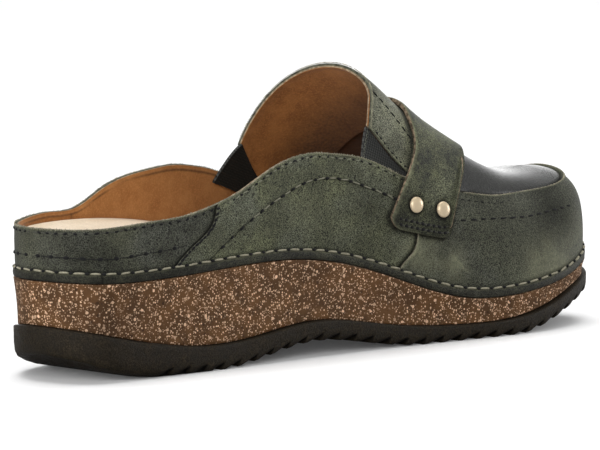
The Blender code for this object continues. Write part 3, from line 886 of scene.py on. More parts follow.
@dataclass(frozen=True)
class RawEdge:
    """Cut edge of leather, fibrous and paler."""

    name: str
    tone: Colour
    deep: Colour

    def make(self) -> bpy.types.Material:
        """Build the material."""
        material, tree, shader = start_material(self.name)
        place = tree.place()
        coarse = tree.span(tree.noise(place, 620.0, 3.0, 0.6), 0.40, 0.60)
        fine = tree.noise(place, 2200.0, 3.0, 0.7)
        gaps = tree.span(fine, 0.45, 0.7, 0.0, 0.5)
        darker = tuple(value * 0.5 for value in self.deep)
        colour = tree.mix(gaps, tree.mix(coarse, self.deep, self.tone), darker)
        tree.feed(shader, {"Base Color": colour, "Roughness": 0.9, "Specular IOR Level": 0.2,
                           "Normal": tree.bump(fine, 0.0002)})
        return material


@dataclass(frozen=True)
class Cork:
    """Pressed cork: brown granules with pale angular chips.

    Attributes:
        layers: cells to the metre, share of them left plain and strength of each layer of chips.
    """

    name: str = "cork"
    ground: Colour = (0.086, 0.040, 0.014)
    warm: Colour = (0.140, 0.064, 0.022)
    chip: Colour = (0.940, 0.620, 0.400)
    dark: Colour = (0.022, 0.010, 0.005)
    layers: tuple[tuple[float, float, float], ...] = (
        (1800.0, 0.76, 0.85), (1150.0, 0.58, 1.0), (620.0, 0.88, 1.0))

    def make(self) -> bpy.types.Material:
        """Build the material."""
        material, tree, shader = start_material(self.name)
        place = tree.place()
        bent = tree.add("ShaderNodeTexNoise", {"Vector": place, "Scale": 600.0, "Detail": 2.0}).outputs
        shift = tree.add("ShaderNodeVectorMath", {0: bent["Color"], "Scale": 0.0005},
                         operation="SCALE").outputs[0]
        vector = tree.add("ShaderNodeVectorMath", {0: place, 1: shift}, operation="ADD").outputs[0]
        colour = tree.mix(tree.span(tree.noise(place, 130.0, 3.0), 0.40, 0.60), self.ground, self.warm)
        cells = [tree.add("ShaderNodeTexVoronoi", {"Vector": vector, "Scale": scale}, feature="F1").outputs
                 for scale, _, _ in self.layers]
        for cell, (_, share, strength) in zip(cells, self.layers):
            red, green, blue = tree.add("ShaderNodeSeparateColor", {0: cell["Color"]}).outputs[:3]
            near = tree.span(cell["Distance"], 0.36, 0.41, 1.0, 0.0)
            dark = tree.math("MULTIPLY", tree.span(green, 0.93, 0.96), near)
            colour = tree.mix(tree.math("MULTIPLY", dark, strength * 0.6), colour, self.dark)
            tint = tree.mix(blue, self.chip, tuple(value * 0.55 for value in self.chip))
            pale = tree.math("MULTIPLY", tree.span(red, share, share + 0.04), near)
            colour = tree.mix(tree.math("MULTIPLY", pale, strength), colour, tint)
        height = tree.math("ADD", tree.math("MULTIPLY", cells[1]["Distance"], -0.6),
                           tree.math("MULTIPLY", tree.noise(place, 1900.0, 3.0, 0.7), 0.8))
        # painted shade darkens the cork towards its dark colour
        tree.feed(shader, {"Base Color": tree.mix(tree.mark("dirt_and_shade"), colour, self.dark), "Roughness": 0.75,
                           "Specular IOR Level": 0.25, "Normal": tree.bump(height, 0.00025)})
        return material


@dataclass(frozen=True)
class Rubber:
    """Near-black rubber, finely pebbled, with a soft gloss and painted shade in the notches of its ribs."""

    name: str = "rubber"
    tone: Colour = (0.0085, 0.0060, 0.0030)
    pale: Colour = (0.042, 0.031, 0.0175)
    black: Colour = (0.0008, 0.0007, 0.0005)

    def make(self) -> bpy.types.Material:
        """Build the material."""
        material, tree, shader = start_material(self.name)
        place = tree.place()
        dust = tree.span(tree.noise(place, 260.0, 4.0, 0.65), 0.40, 0.70)
        fine = tree.noise(place, 1700.0, 3.0, 0.7)
        share = tree.math("MULTIPLY", tree.span(dust, 0.0, 1.0, 0.40, 1.0), tree.span(fine, 0.42, 0.60))
        # painted shade in the notches between the ribs, mixed towards black
        colour = tree.mix(tree.mark("notch_shade"), tree.mix(share, self.tone, self.pale), self.black)
        tree.feed(shader, {"Base Color": colour, "Roughness": tree.span(dust, 0.0, 1.0, 0.50, 0.70),
                           "Specular IOR Level": 0.16, "Normal": tree.bump(fine, 0.00030)})
        return material


@dataclass(frozen=True)
class Elastic:
    """Ribbed elastic webbing, read along its own pattern."""

    name: str = "elastic"
    tone: Colour = (0.078, 0.080, 0.076)
    deep: Colour = (0.014, 0.014, 0.013)
    rib: float = 0.00085

    def make(self) -> bpy.types.Material:
        """Build the material."""
        material, tree, shader = start_material(self.name)
        pattern = tree.add("ShaderNodeUVMap", uv_map="pattern").outputs["UV"]
        parts = tree.add("ShaderNodeSeparateXYZ", {0: pattern})
        turn = 2 * math.pi / self.rib
        across = tree.math("SINE", tree.math("MULTIPLY", parts.outputs[0], turn))
        along = tree.math("SINE", tree.math("MULTIPLY", parts.outputs[1], turn * 0.8))
        weave = tree.math("MULTIPLY", tree.math("ADD", across, tree.math("MULTIPLY", along, 0.45)), 0.5)
        height = tree.span(weave, -0.7, 0.7)
        tree.feed(shader, {"Base Color": tree.mix(height, self.deep, self.tone), "Roughness": 0.85,
                           "Specular IOR Level": 0.2, "Normal": tree.bump(height, 0.0003)})
        return material


@dataclass(frozen=True)
class Plain:
    """Small hard or dark things: thread, needle holes, rivet metal."""

    name: str
    tone: Colour
    roughness: float = 0.7
    metallic: float = 0.0
    grain: float = 3000.0
    spread: float = 0.35
    depth: float = 0.00003

    def make(self) -> bpy.types.Material:
        """Build the material."""
        material, tree, shader = start_material(self.name)
        fine = tree.noise(tree.place(), self.grain, 3.0, 0.6)
        lower, upper = (tuple(min(value * part, 1.0) for value in self.tone)
                        for part in (1 - self.spread, 1 + self.spread))
        tree.feed(shader, {"Base Color": tree.mix(tree.span(fine, 0.3, 0.7), lower, upper),
                           "Roughness": self.roughness, "Metallic": self.metallic,
                           "Normal": tree.bump(fine, self.depth)})
        return material


class Finishes:
    """Every finish of the shoe, built once."""

    def __init__(self) -> None:
        """Build them."""
        self.heel = Leather("leather_heel", (0.074, 0.077, 0.050), (0.036, 0.037, 0.026), cool=0.7).make()
        self.quarter = Leather("leather_quarter", (0.116, 0.123, 0.068), (0.064, 0.067, 0.041),
                               cool=0.9).make()
        self.vamp = Leather("leather_vamp", (0.078, 0.082, 0.055), (0.050, 0.052, 0.036)).make()
        self.plug = Leather("leather_plug", (0.022, 0.023, 0.018), (0.015, 0.016, 0.013), roughness=0.34,
                            sheen=0.0, specular=0.45, depth=0.00030, fleck=0.8, coat=1.0).make()
        self.strap = Leather("leather_strap", (0.108, 0.114, 0.060), (0.030, 0.032, 0.022),
                             blotch=80.0).make()
        self.tongue = Leather("leather_tongue", (0.172, 0.176, 0.112), (0.080, 0.082, 0.055)).make()
        self.rand = Leather("leather_rand", (0.045, 0.044, 0.028), (0.018, 0.018, 0.013), blotch=160.0).make()
        self.edge = RawEdge("raw_edge", (0.300, 0.270, 0.185), (0.070, 0.067, 0.045)).make()
        self.edge_dark = RawEdge("raw_edge_dark", (0.130, 0.130, 0.095), (0.040, 0.040, 0.028)).make()
        self.edge_strap = RawEdge("strap_edge", (0.360, 0.270, 0.180), (0.075, 0.056, 0.038)).make()
        self.edge_lining = RawEdge("lining_edge", (0.400, 0.310, 0.205), (0.180, 0.118, 0.068)).make()
        self.lining = Suede("lining", (0.41, 0.182, 0.058), (0.31, 0.126, 0.036)).make()
        self.tongue_lining = Suede("tongue_lining", (0.370, 0.152, 0.041), (0.235, 0.088, 0.020)).make()
        # darker copy of the lining for the plug's underside: painted shade
        self.plug_lining_shaded = Suede("plug_lining_shaded", (0.120, 0.046, 0.014), (0.070, 0.026, 0.008)).make()
        self.insole = Suede("insole", (0.715, 0.595, 0.445), (0.65, 0.52, 0.37), roughness=0.6,
                            seam=(0.20, 0.10, 0.045)).make()
        self.cork = Cork().make()
        self.rubber = Rubber().make()
        self.elastic = Elastic().make()
        # darker copy of the elastic for its inner face: painted shade
        self.elastic_back_shaded = Elastic("elastic_back_shaded", (0.022, 0.020, 0.017), (0.004, 0.004, 0.003)).make()
        self.thread_pale = Plain("thread_pale", (0.310, 0.288, 0.205), grain=1400.0).make()
        self.fibre = Plain("fibre", (0.300, 0.275, 0.195), grain=500.0, spread=0.6).make()
        self.thread_olive = Plain("thread_olive", (0.190, 0.192, 0.135)).make()
        self.thread_tan = Plain("thread_tan", (0.205, 0.200, 0.142), spread=0.5).make()
        self.thread_grey = Plain("thread_grey", (0.090, 0.092, 0.072)).make()
        self.thread_dark = Plain("thread_dark", (0.045, 0.045, 0.033)).make()
        # near black: painted shade inside the needle holes, and the colour of the dark threads
        self.hole = Plain("needle_hole", (0.003, 0.003, 0.003), roughness=0.95).make()
        self.brass = Plain("brass", (0.76, 0.61, 0.41), roughness=0.38, metallic=0.30, grain=900.0,
                           spread=0.05, depth=0.00002).make()


def sided(walk: Array) -> Array:
    """-1 where a walk round an end is on the inner side, else 1."""
    return np.where(walk < 0, -1.0, 1.0)


def loop_walk(share: Array) -> tuple[Array, Array]:
    """Station angle and side for a walk round the whole shoe, from the heel over the inner side."""
    turn = share * 2 * np.pi
    return np.where(turn <= np.pi, turn, 2 * np.pi - turn), np.where(turn <= np.pi, -1.0, 1.0)


@dataclass(frozen=True)
class Sole:
    """Outsole, cork, rand and footbed."""

    edge_bevel: float = 0.0016
    edge_rise: float = 0.0045
    tread_pitch: float = 0.0080
    tread_depth: float = 0.0019
    tread_start: float = 0.0327
    tread_floor: float = 0.0610
    tread_stop: float = 0.250
    rib_profile: tuple[tuple[float, float], ...] = (
        (0.0, 0.0), (0.12, 0.0), (0.25, 0.0), (0.50, 0.38), (0.80, 0.84), (0.90, 1.0), (0.94, 0.97),
        (0.975, 0.04))
    rib_lean: float = 0.4
    rand_wall: float = 0.0030
    rand_joint: float = -0.0400
    rand_pitch: float = 0.0061
    upper_wall: float = 0.0020
    insole_ease: float = 0.0003
    insole_dish: float = 0.0020

    def tread_stations(self) -> tuple[Array, Array]:
        """Station angles of the outsole's rows and the depth of the tread at each."""
        shares = to_share(np.linspace(0, np.pi, 361))
        ribs = []
        for start in np.arange(self.tread_start, self.tread_stop, self.tread_pitch):
            ribs += [((start + along * self.tread_pitch) / LAST.length, depth * self.tread_depth)
                     for along, depth in self.rib_profile]
        place, depth = np.array(ribs).T
        near = np.abs(shares[:, None] - place[None]).min(1)
        extra = shares[near > 0.0012]
        every = np.unique(np.concatenate([extra, place]))
        first = self.tread_start / LAST.length
        last = (self.tread_stop + self.tread_pitch) / LAST.length
        notch = np.interp(every, np.concatenate([[0, first - 0.003], place, [last, 1]]),
                          np.concatenate([[0, 0], depth, [0, 0]]))
        return to_angle(every), notch

    def leaning(self, angles: Array, rise: Array) -> Array:
        """Station angles moved forward with the height above the tread, so that the ribs lean."""
        place = to_share(angles) * LAST.length
        fade = ease(self.tread_start - 0.006, self.tread_start + 0.004, place)
        fade = fade * (1 - ease(self.tread_stop - 0.022, self.tread_stop - 0.006, place))
        shift = self.rib_lean * np.minimum(rise, self.edge_rise) * fade
        return to_angle((place + shift) / LAST.length)

    def section_tube(self, name: str, angles: Array, rows: Callable[[Array, Array], list[Array]], across: int,
                     dish: float = 0.0) -> bpy.types.Object:
        """A closed body of sections across the sole.

        Args:
            name: the piece's name.
            angles: station angles of the sections.
            rows: gives the side's rows of points from bottom to top, for angles and sides, with the painted
                shade of each point where there is any.
            across: faces across bottom and top.
            dish: how deep the top is hollowed, in metres.

        Returns:
            The piece.
        """
        inner, outer = ([row if row.shape[1] == 4 else np.pad(row, ((0, 0), (0, 1)))
                         for row in rows(angles, np.full(len(angles), sign))] for sign in (-1.0, 1.0))

        def span(first: Array, last: Array, depth: float) -> list[Array]:
            return [first + (last - first) * part + np.array([0.0, 0.0, -depth * 4 * part * (1 - part), 0.0])
                    for part in np.linspace(0, 1, across + 1)[1:-1]]

        loops = span(outer[0], inner[0], 0.0) + inner + span(inner[-1], outer[-1], dish) + outer[::-1]
        table = np.array(loops + loops[:1])
        count, stations = table.shape[0] - 1, table.shape[1] - 1

        def lay(u: Array, v: Array) -> Layer:
            column = np.rint(u * stations).astype(int)
            row = np.rint(v * count).astype(int)
            points, dark = table[row, column, :3], table[row, column, 3]
            middle = table[:, column, :3].mean(0)
            # painted shade: the cork's shade patches and the outsole's notches
            return Layer(points, points - middle, {"dirt_and_shade": patches(points, CORK_SHADE_PATCHES), "notch_shade": dark})

        return make_sheet(name, stations, count, lay, weld=0.00002, closed=True)

    def outsole(self) -> bpy.types.Object:
        """Rubber outsole with its saw-edged ribs."""
        angles, notch = self.tread_stations()
        share = to_share(angles)
        flat = notch * (share * LAST.length > self.tread_floor)
        tread = np.maximum(LAST.heel_stack * LAST.tread.at(share), 0)
        ledge = LAST.heel_stack * LAST.ledge.at(share)

        def rows(at: Array, side: Array) -> list[Array]:
            heel = 1 - ease(0.10, 0.26, share)
            rounder, taller = 1 + 1.8 * heel, 1 + 0.35 * heel
            # painted shade on the faces in the notches between the ribs
            notch_shade = 0.95 * notch / self.tread_depth
            steps = [(self.edge_bevel * rounder, tread + flat, notch_shade)]
            for inset, rise, cut in ((0.0009, 0.0004, 1.0), (0.00035, 0.0010, 0.85), (0.0001, 0.0022, 0.40),
                                     (0.0, self.edge_rise, 0.0)):
                level = tread + np.minimum(rise * taller + notch * cut, self.edge_rise * taller)
                steps.append((inset * rounder, level, notch_shade * (cut > 0.8)))
            top = tread + self.edge_rise * taller
            none = 0 * heel
            steps += [(0.0, top + (ledge - 0.0006 - top) * part, none) for part in (0.33, 0.66, 1.0)]
            steps += [(0.0002, ledge - 0.0002, none), (0.0007, ledge, none), (0.006, ledge, none)]
            return [np.concatenate([LAST.plan(self.leaning(at, level - tread), side, inset), level[:, None],
                                    dark[:, None]], -1) for inset, level, dark in steps]

        return self.section_tube("outsole_rubber", angles, rows, 20)

    def cork(self) -> bpy.types.Object:
        """Cork wall with a faint hollow."""
        angles = np.linspace(0, np.pi, 401)
        share = to_share(angles)
        low = LAST.heel_stack * LAST.ledge.at(share) + LAST.gap

        def rows(at: Array, side: Array) -> list[Array]:
            high = LAST.cork_top(share, side)
            made = []
            for part in np.linspace(0, 1, 21):
                inset = LAST.welt_margin - LAST.cork_taper * part + 0.0003 * math.sin(math.pi * part)
                level = low + (high - low) * part
                made.append(np.concatenate([LAST.plan(at, side, inset), level[:, None]], -1))
            return made

        return self.section_tube("cork_wall", angles, rows, 8)

    def rand_profile(self) -> list[tuple[float, float]]:
        """Inset and lift of the rand's rows."""
        outer = LAST.welt_margin - LAST.cork_taper
        return [(outer + self.rand_wall, LAST.gap), (outer + 0.0007, LAST.gap), (outer + 0.0002, 0.0005),
                (outer - 0.0001, 0.0011), (outer - 0.0002, 0.0020), (outer - 0.0001, 0.0028),
                (outer + 0.0002, 0.0035), (outer + 0.0007, 0.0039), (outer + 0.0014, 0.0037),
                (outer + self.rand_wall, 0.0037)]

    def rand(self) -> bpy.types.Object:
        """Leather band round the edge above the cork."""
        profile = self.rand_profile()
        profile.append(profile[0])
        count = len(profile) - 1
        insets, lifts = np.array(profile).T

        def lay(u: Array, v: Array) -> Layer:
            angle, side = loop_walk(u)
            row = np.rint(v * count).astype(int)
            plan = LAST.plan(angle, side, insets[row])
            wave = 0.00012 * np.sin(u * 2 * np.pi * 23) * np.sin(u * 2 * np.pi * 7 + 1.3)
            level = LAST.cork_top(to_share(angle), side) + lifts[row] + wave * (lifts[row] > 0.001)
            points = np.concatenate([plan, level[:, None]], -1)
            middle = LAST.plan(angle, side, 0.0015)
            outward = np.concatenate([plan - middle, (lifts[row] - 0.002)[:, None]], -1)
            rubbed = 0.45 * ease(0.0030, 0.0038, lifts[row]) * (insets[row] < 0.0016)
            # painted shade on the band's top where it runs under the upper; a dark joint on the inner side;
            # darker towards the heel
            dirt_and_shade = 0.9 * ((insets[row] > 0.0015) & (lifts[row] > 0.002)).astype(float)
            dirt_and_shade += 0.95 * np.exp(-((points[:, 0] - self.rand_joint) / 0.0004) ** 2) * (side < 0)
            return worn(points, outward, rubbed, dirt_and_shade + 0.40 * (1 - ease(-0.010, 0.020, points[:, 0])))

        return make_sheet("rand_band", 900, count, lay, weld=0.00002, closed=True)

    def footbed(self) -> bpy.types.Object:
        """Cream insole on its bed, dished and rounded at the edge."""
        angles = np.linspace(0, np.pi, 241)
        share = to_share(angles)
        depth = self.upper_wall + self.insole_ease
        level = LAST.heel_stack * LAST.insole.at(share)

        def rows(at: Array, side: Array) -> list[Array]:
            made = []
            low = LAST.cork_top(share, side) + LAST.gap
            for part, inset in ((0.0, 0.0), (0.5, 0.0), (0.90, 0.0), (0.955, 0.0), (0.985, 0.0003),
                                (1.0, 0.0009)):
                height = low + (level - low) * part
                above = np.maximum(height - LAST.seam(share, side) - LAST.gap, 0)
                points = LAST.skin(at, LAST.girth_at(at, side, above), side, -depth - inset)
                points[:, 2] = height
                made.append(points)
            return made

        return self.section_tube("insole_bed", angles, rows, 40, self.insole_dish)

    def rand_track(self) -> Track:
        """Line of the rand's stitches, at the top of the band."""
        angle, side = loop_walk(np.linspace(0, 1, 1401))
        outer = LAST.welt_margin - LAST.cork_taper
        plan = LAST.plan(angle, side, outer + 0.0003)
        level = LAST.seam(to_share(angle), side) - 0.0002
        outward = np.concatenate([LAST.plan(angle, side, 0.0) - LAST.plan(angle, side, 0.001),
                                  np.full((len(angle), 1), 0.0004)], -1)
        return Track(np.concatenate([plan, level[:, None]], -1), unit(outward))

    def build(self, finish: Finishes) -> None:
        """Make and dress the sole's pieces."""
        dress(self.outsole(), "outsole", finish.rubber, stands_for=["outsole"])
        dress(self.cork(), "cork_midsole", finish.cork, stands_for=["cork_midsole"])
        dress(self.rand(), "rand", finish.rand, stands_for=["rand"])
        dress(self.footbed(), "footbed", finish.insole, stands_for=["footbed"])
        points, along, outward = self.rand_track().places(self.rand_pitch)
        threads = [(points + outward * 0.0001, along, outward)]
        holes = [(points + along * (self.rand_pitch / 2), along, outward)]
        dress_rows("rand",
                   ("rand_stitches", Bead.THREAD, threads, (0.0042, 0.0008, 0.0006), 3.0, finish.thread_pale),
                   ("rand_holes", Bead.HOLE, holes, (0.0017, 0.0011, 0.0004), 5.0, finish.hole))


@dataclass(frozen=True)
class Upper:
    """The leather shell: heel piece, quarters, vamp, plug and lining."""

    leather: float = 0.0009
    plug_wall: float = 0.0016
    lining_wall: float = 0.0007
    sink: float = 0.0005
    lift: float = 0.0004
    throat: float = 0.640
    ridge: float = 0.0011
    ridge_start: tuple[float, float] = (0.692, 0.722)

    def wave(self, points: Array) -> Array:
        """Soft unevenness of worn leather, in metres."""
        x, y, z = points.T * 1000
        return MM * (0.10 * np.sin(x / 7.3 + 0.8) * np.sin(z / 5.1 + 0.4 + y / 19)
                     + 0.06 * np.sin(x / 3.9 + z / 4.7 + y / 9) + 0.04 * np.sin(z / 2.9 - x / 5.7))

    def settle(self, line: Track, share: float = 1.0) -> Track:
        """A line moved onto the uneven leather."""
        return Track(line.points + line.outward * self.wave(line.points)[:, None] * share, line.outward)

    def heel_relief(self, angle: Array, girth: Array, side: Array) -> Array:
        """Offset of the heel piece: it dips where the quarter covers it."""
        return -self.sink * ease(-0.0022, 0.0004, Seams.rear_edge.past(angle, girth / LAST.rim(angle, side)))

    def quarter_relief(self, angle: Array, girth: Array, side: Array) -> Array:
        """Offset of the quarter: over the heel piece, under the vamp and stepped at its collar seam."""
        part = girth / LAST.rim(angle, side)
        lift = self.lift * (1 - ease(0.0, 0.012, Seams.rear_edge.past(angle, part)))
        sink = self.sink * ease(-0.0030, 0.0002, Seams.front_edge.past(angle, part))
        return lift - sink + self.collar_step(angle, girth, side)[0]

    def collar_step(self, angle: Array, girth: Array, side: Array) -> tuple[Array, Array]:
        """Height and darkness of the collar seam, for points on either side."""
        height = np.zeros(len(angle))
        dark = np.zeros(len(angle))
        points = LAST.point(angle, girth, side)
        for sign in (-1.0, 1.0):
            chosen = side == sign
            if not chosen.any():
                continue
            across, past = Seams.collar.track(sign).signed(points[chosen])
            across = across * -sign
            fade = 1 - ease(0.0, 0.002, past)
            profile = np.interp(across * 1000, (-6, -0.9, -0.25, 0.0, 0.30, 1.2, 4.5, 12),
                                (0, 0.02, -0.16, -0.26, 0.16, 0.36, 0.30, 0))
            height[chosen] = profile * fade * MM
            dark[chosen] = np.interp(np.abs(across + 0.00005) * 1000, (0, 0.18, 0.5), (0.95, 0.6, 0)) * fade
        return height, dark

    def vamp_relief(self, angle: Array, girth: Array, side: Array) -> Array:
        """Offset of the vamp: lifted over the quarter and ridged round the plug."""
        part = girth / LAST.rim(angle, side)
        behind = Seams.front_edge.past(angle, part)
        lift = self.lift * (1 - ease(0.0, 0.010, behind)) * (1 - ease(0.30, 0.50, part))
        profile = np.interp(LAST.past_rim(angle, girth, side), (-4.5, -2.4, -1.2, -0.5, 0.0, 0.35, 0.7),
                            (0, 0.10, 0.50, 1.0, 0.80, 0.00, -1.2))
        return lift + self.ridge * profile * ease(*self.ridge_start, to_share(angle))

    def plug_relief(self, angle: Array, girth: Array, side: Array) -> Array:
        """Offset of the plug: set in a groove inside the ridge."""
        profile = np.interp(LAST.past_rim(angle, girth, side), (0.0, 0.5, 1.2, 2.4, 9.0),
                            (-1.3, -0.95, -0.38, -0.16, -0.10))
        return MM * profile * ease(*self.ridge_start, to_share(angle))

    def heel_piece(self) -> bpy.types.Object:
        """Band round the heel, from under one quarter to under the other."""
        def lay(u: Array, v: Array) -> Layer:
            part = -0.07 + 1.07 * v
            walk = (u - 0.5) * 2
            side = sided(walk)
            edge = to_angle(Seams.rear_edge.share_at(part) + 0.022)
            angle = np.abs(walk) * edge
            girth = part * LAST.rim(angle, side)
            points = LAST.skin(angle, girth, side, self.heel_relief(angle, girth, side))
            outward = LAST.normal(angle, girth, side)
            points = points + outward * self.wave(points)[:, None] * 0.6
            height = part * LAST.rim_height(to_share(angle), side)
            top = LAST.rim_height(to_share(angle), side) - height
            seam = np.abs(Seams.rear_edge.past(angle, part))
            rubbed = 0.45 * (1 - ease(0.0002, 0.0010, top)) + patches(points, RUBBED)
            # painted shadow beside the quarter's overlapping edge; darker along the lowest millimetre and in
            # the darker patches
            dirt_and_shade = 0.95 * (1 - ease(0.0008, 0.0020, seam)) + 0.5 * (1 - ease(0.0, 0.0010, height))
            dirt_and_shade += patches(points, DARK_AND_SHADED_PATCHES)
            return worn(points, outward, rubbed, dirt_and_shade)

        return make_sheet("heel_piece", 300, 40, lay)

    def quarter(self, name: str, sign: float) -> bpy.types.Object:
        """One side's quarter with its collar."""
        def lay(u: Array, v: Array) -> Layer:
            part = -0.05 + 1.05 * v
            side = np.full_like(u, sign)
            rear = Seams.rear_edge.share_at(part)
            front = np.minimum(Seams.front_edge.share_at(part) + 0.02, 0.645)
            angle = to_angle(rear + (front - rear) * u)
            girth = part * LAST.rim(angle, side)
            points = LAST.skin(angle, girth, side, self.quarter_relief(angle, girth, side))
            outward = LAST.normal(angle, girth, side)
            points = points + outward * self.wave(points)[:, None]
            height = part * LAST.rim_height(to_share(angle), side)
            top = LAST.rim_height(to_share(angle), side) - height
            behind = (to_share(angle) - rear) * LAST.length
            ahead = Seams.front_edge.past(angle, part)
            rubbed = 0.6 * (1 - ease(0.0002, 0.0010, top)) + 0.2 * (1 - ease(0.0002, 0.0008, behind))
            rubbed += patches(points, RUBBED)
            # painted shadow before the vamp's overlapping edge and beside the strap; dark collar seam; darker
            # along the lowest millimetre and in the darker patches
            dirt_and_shade = 0.98 * ease(-0.0022, -0.0004, ahead) + 0.5 * (1 - ease(0.0, 0.0010, height))
            dirt_and_shade += self.collar_step(angle, girth, side)[1]
            dirt_and_shade += patches(points, DARK_AND_SHADED_PATCHES) + strap_shadow(points)
            return worn(points, outward, rubbed, dirt_and_shade)

        return make_sheet(name, 220, 84, lay)

    def vamp(self) -> bpy.types.Object:
        """Toe wall from one quarter round the toe to the other."""
        def lay(u: Array, v: Array) -> Layer:
            walk = (u - 0.5) * 2
            side = sided(walk)
            part = -0.05 + 1.05 * v
            start = np.pi - to_angle(Seams.front_edge.share_at(part))
            angle = np.pi - np.abs(walk) * start
            rim = LAST.rim(angle, side)
            over = 0.0007 / LAST.reach(angle, rim, side) * ease(*self.ridge_start, to_share(angle))
            girth = np.where(part > 0.8, rim * 0.8 + (rim * 0.2 + over) * (part - 0.8) / 0.2, part * rim)
            points = LAST.skin(angle, girth, side, self.vamp_relief(angle, girth, side))
            outward = LAST.normal(angle, girth, side)
            points = points + outward * (self.wave(points) * (1 - ease(0.85, 0.95, part)))[:, None]
            height = part * LAST.rim_height(to_share(angle), side)
            behind = Seams.front_edge.past(angle, part)
            inside = LAST.past_rim(angle, girth, side)
            ridged = ease(*self.ridge_start, to_share(angle))
            rubbed = 1.2 * (1 - ease(0.0004, 0.0010, behind)) + 0.04 * (1 - ease(0.001, 0.014, behind))
            rubbed += 1.1 * np.exp(-((inside + 0.22) / 0.25) ** 2) * ridged
            rubbed += self.scratch(points) + patches(points, RUBBED)
            # painted shade in the groove inside the ridge, beside the strap and on the toe's upper end;
            # darker along the lowest millimetre
            dirt_and_shade = 0.5 * (1 - ease(0.0, 0.0010, height)) + ease(0.2, 0.55, inside) * ridged
            dirt_and_shade += patches(points, DARK_AND_SHADED_PATCHES) + strap_shadow(points)
            return worn(points, outward, rubbed, dirt_and_shade)

        return make_sheet("vamp", 460, 76, lay)

    def scratch(self, points: Array) -> Array:
        """Scratch on the inner side of the vamp, 0 to 1."""
        line = np.array(((0.1220, -0.0425, 0.0333), (0.1235, -0.0428, 0.0320), (0.1258, -0.0433, 0.0293),
                         (0.1273, -0.0436, 0.0278), (0.1296, -0.0440, 0.0261)))
        trail = np.concatenate([first + (last - first) * np.linspace(0, 1, 12)[:, None]
                                for first, last in zip(line, line[1:])])
        away = np.linalg.norm(points[:, None] - trail[None], axis=-1).min(1)
        return 0.7 * np.exp(-(away / 0.00035) ** 2)

    def plug(self) -> bpy.types.Object:
        """Top of the vamp inside the ridge."""
        def lay(u: Array, v: Array) -> Layer:
            across = (v - 0.5) * 2
            side = sided(across)
            start = to_angle(np.array([self.throat]))[0]
            angle = start + (np.pi - start) * u
            rim = LAST.moved(angle, LAST.rim(angle, side), side, 0.0002)
            girth = 1 - np.abs(across) * (1 - rim)
            points = LAST.skin(angle, girth, side, self.plug_relief(angle, girth, side))
            outward = LAST.normal(angle, girth, side)
            inside = (girth - rim) * LAST.reach(angle, rim, side) * 1000
            share = to_share(angle)
            # painted shade in the groove inside the ridge; towards the strap painted shade with less gloss
            dirt_and_shade = np.interp(inside, (0, 0.8, 1.7), (1.0, 0.85, 0.0)) * ease(*self.ridge_start, share)
            matt = 0.66 * (1 - ease(2.0, 17.0, inside)) * (side < 0) * (1 - ease(0.84, 0.93, share))
            matt = np.maximum(matt, 0.62 * (1 - ease(0.770, 0.845, share)))
            return worn(points, outward, 0 * dirt_and_shade, np.maximum(dirt_and_shade, matt))

        return make_sheet("plug", 124, 126, lay, weld=0.00002)

    def lining(self) -> bpy.types.Object:
        """Lining of the whole side wall, sewn along the rim and at the heel's corners."""
        def lay(u: Array, v: Array) -> Layer:
            angle, side = loop_walk(u - 0.35 * np.sin(2 * np.pi * u) / (2 * np.pi))
            rim = LAST.rim(angle, side)
            share = to_share(angle)
            free = 1 - ease(self.throat, self.throat + 0.02, share)
            top = LAST.below_rim(angle, side, 0.0001 + 0.0012 * (1 - free))
            girth = top * v
            inside = (rim - girth) * LAST.reach(angle, rim, side) * 1000
            groove = np.exp(-((inside - 1.9) / 0.20) ** 2) * free
            corner = (share - 0.172 - 0.004 * v) * LAST.length * 1000
            joint = np.exp(-(corner / 0.25) ** 2) * ease(1.5, 2.2, inside)
            joint = joint * (side > 0)
            depth = self.leather + 0.00005 + 0.0005 * ease(0.6, 2.2, inside) + MM * 0.15 * (groove + joint)
            points = LAST.skin(angle, girth, side, -depth)
            outward = LAST.normal(angle, girth, side)
            # painted shade, deeper towards the front inside the shoe
            shade = 0.9 * ease(0.49, 0.60, share) + 0.25 * ease(0.28, 0.48, share)
            return worn(points, outward, 0 * groove, shade + 0.8 * (groove + joint))

        return make_sheet("lining", 480, 46, lay, weld=0.00001)

    def rim_track(self, first: float, last: float, below: float, sign: float, offset: float) -> Track:
        """Line parallel to the rim on one side.

        Args:
            first: share of the length at its start.
            last: share at its end.
            below: distance below the rim.
            sign: the side.
            offset: distance outside the last.

        Returns:
            The line.
        """
        angle = np.linspace(to_angle(np.array(first)), to_angle(np.array(last)), 320)
        side = np.full_like(angle, sign)
        return lay_track(angle, LAST.below_rim(angle, side, below), side, offset)

    def build(self, finish: Finishes) -> None:
        """Make and dress the shell and its sewing."""
        for piece, wall, face, edge, stands_for in (
                (self.heel_piece(), self.leather, finish.heel, finish.edge_dark, ["upper"]),
                (self.quarter("quarter_inner", -1.0), self.leather, finish.quarter, finish.edge_dark, ()),
                (self.quarter("quarter_outer", 1.0), self.leather, finish.quarter, finish.edge_dark, ()),
                (self.vamp(), self.leather * 0.8, finish.vamp, finish.edge, ())):
            add_wall(piece, wall, 0.0002, rim=1)
            dress(piece, "upper", face, edge, stands_for=stands_for)
        plug = self.plug()
        add_wall(plug, self.plug_wall, 0.0, back=1)
        dress(plug, "upper", finish.plug, finish.plug_lining_shaded)
        lining = self.lining()
        add_wall(lining, self.lining_wall, 0.00015, rim=1)
        dress(lining, "upper", finish.lining, finish.edge_lining)
        self.sew(finish)
        self.fray(finish)

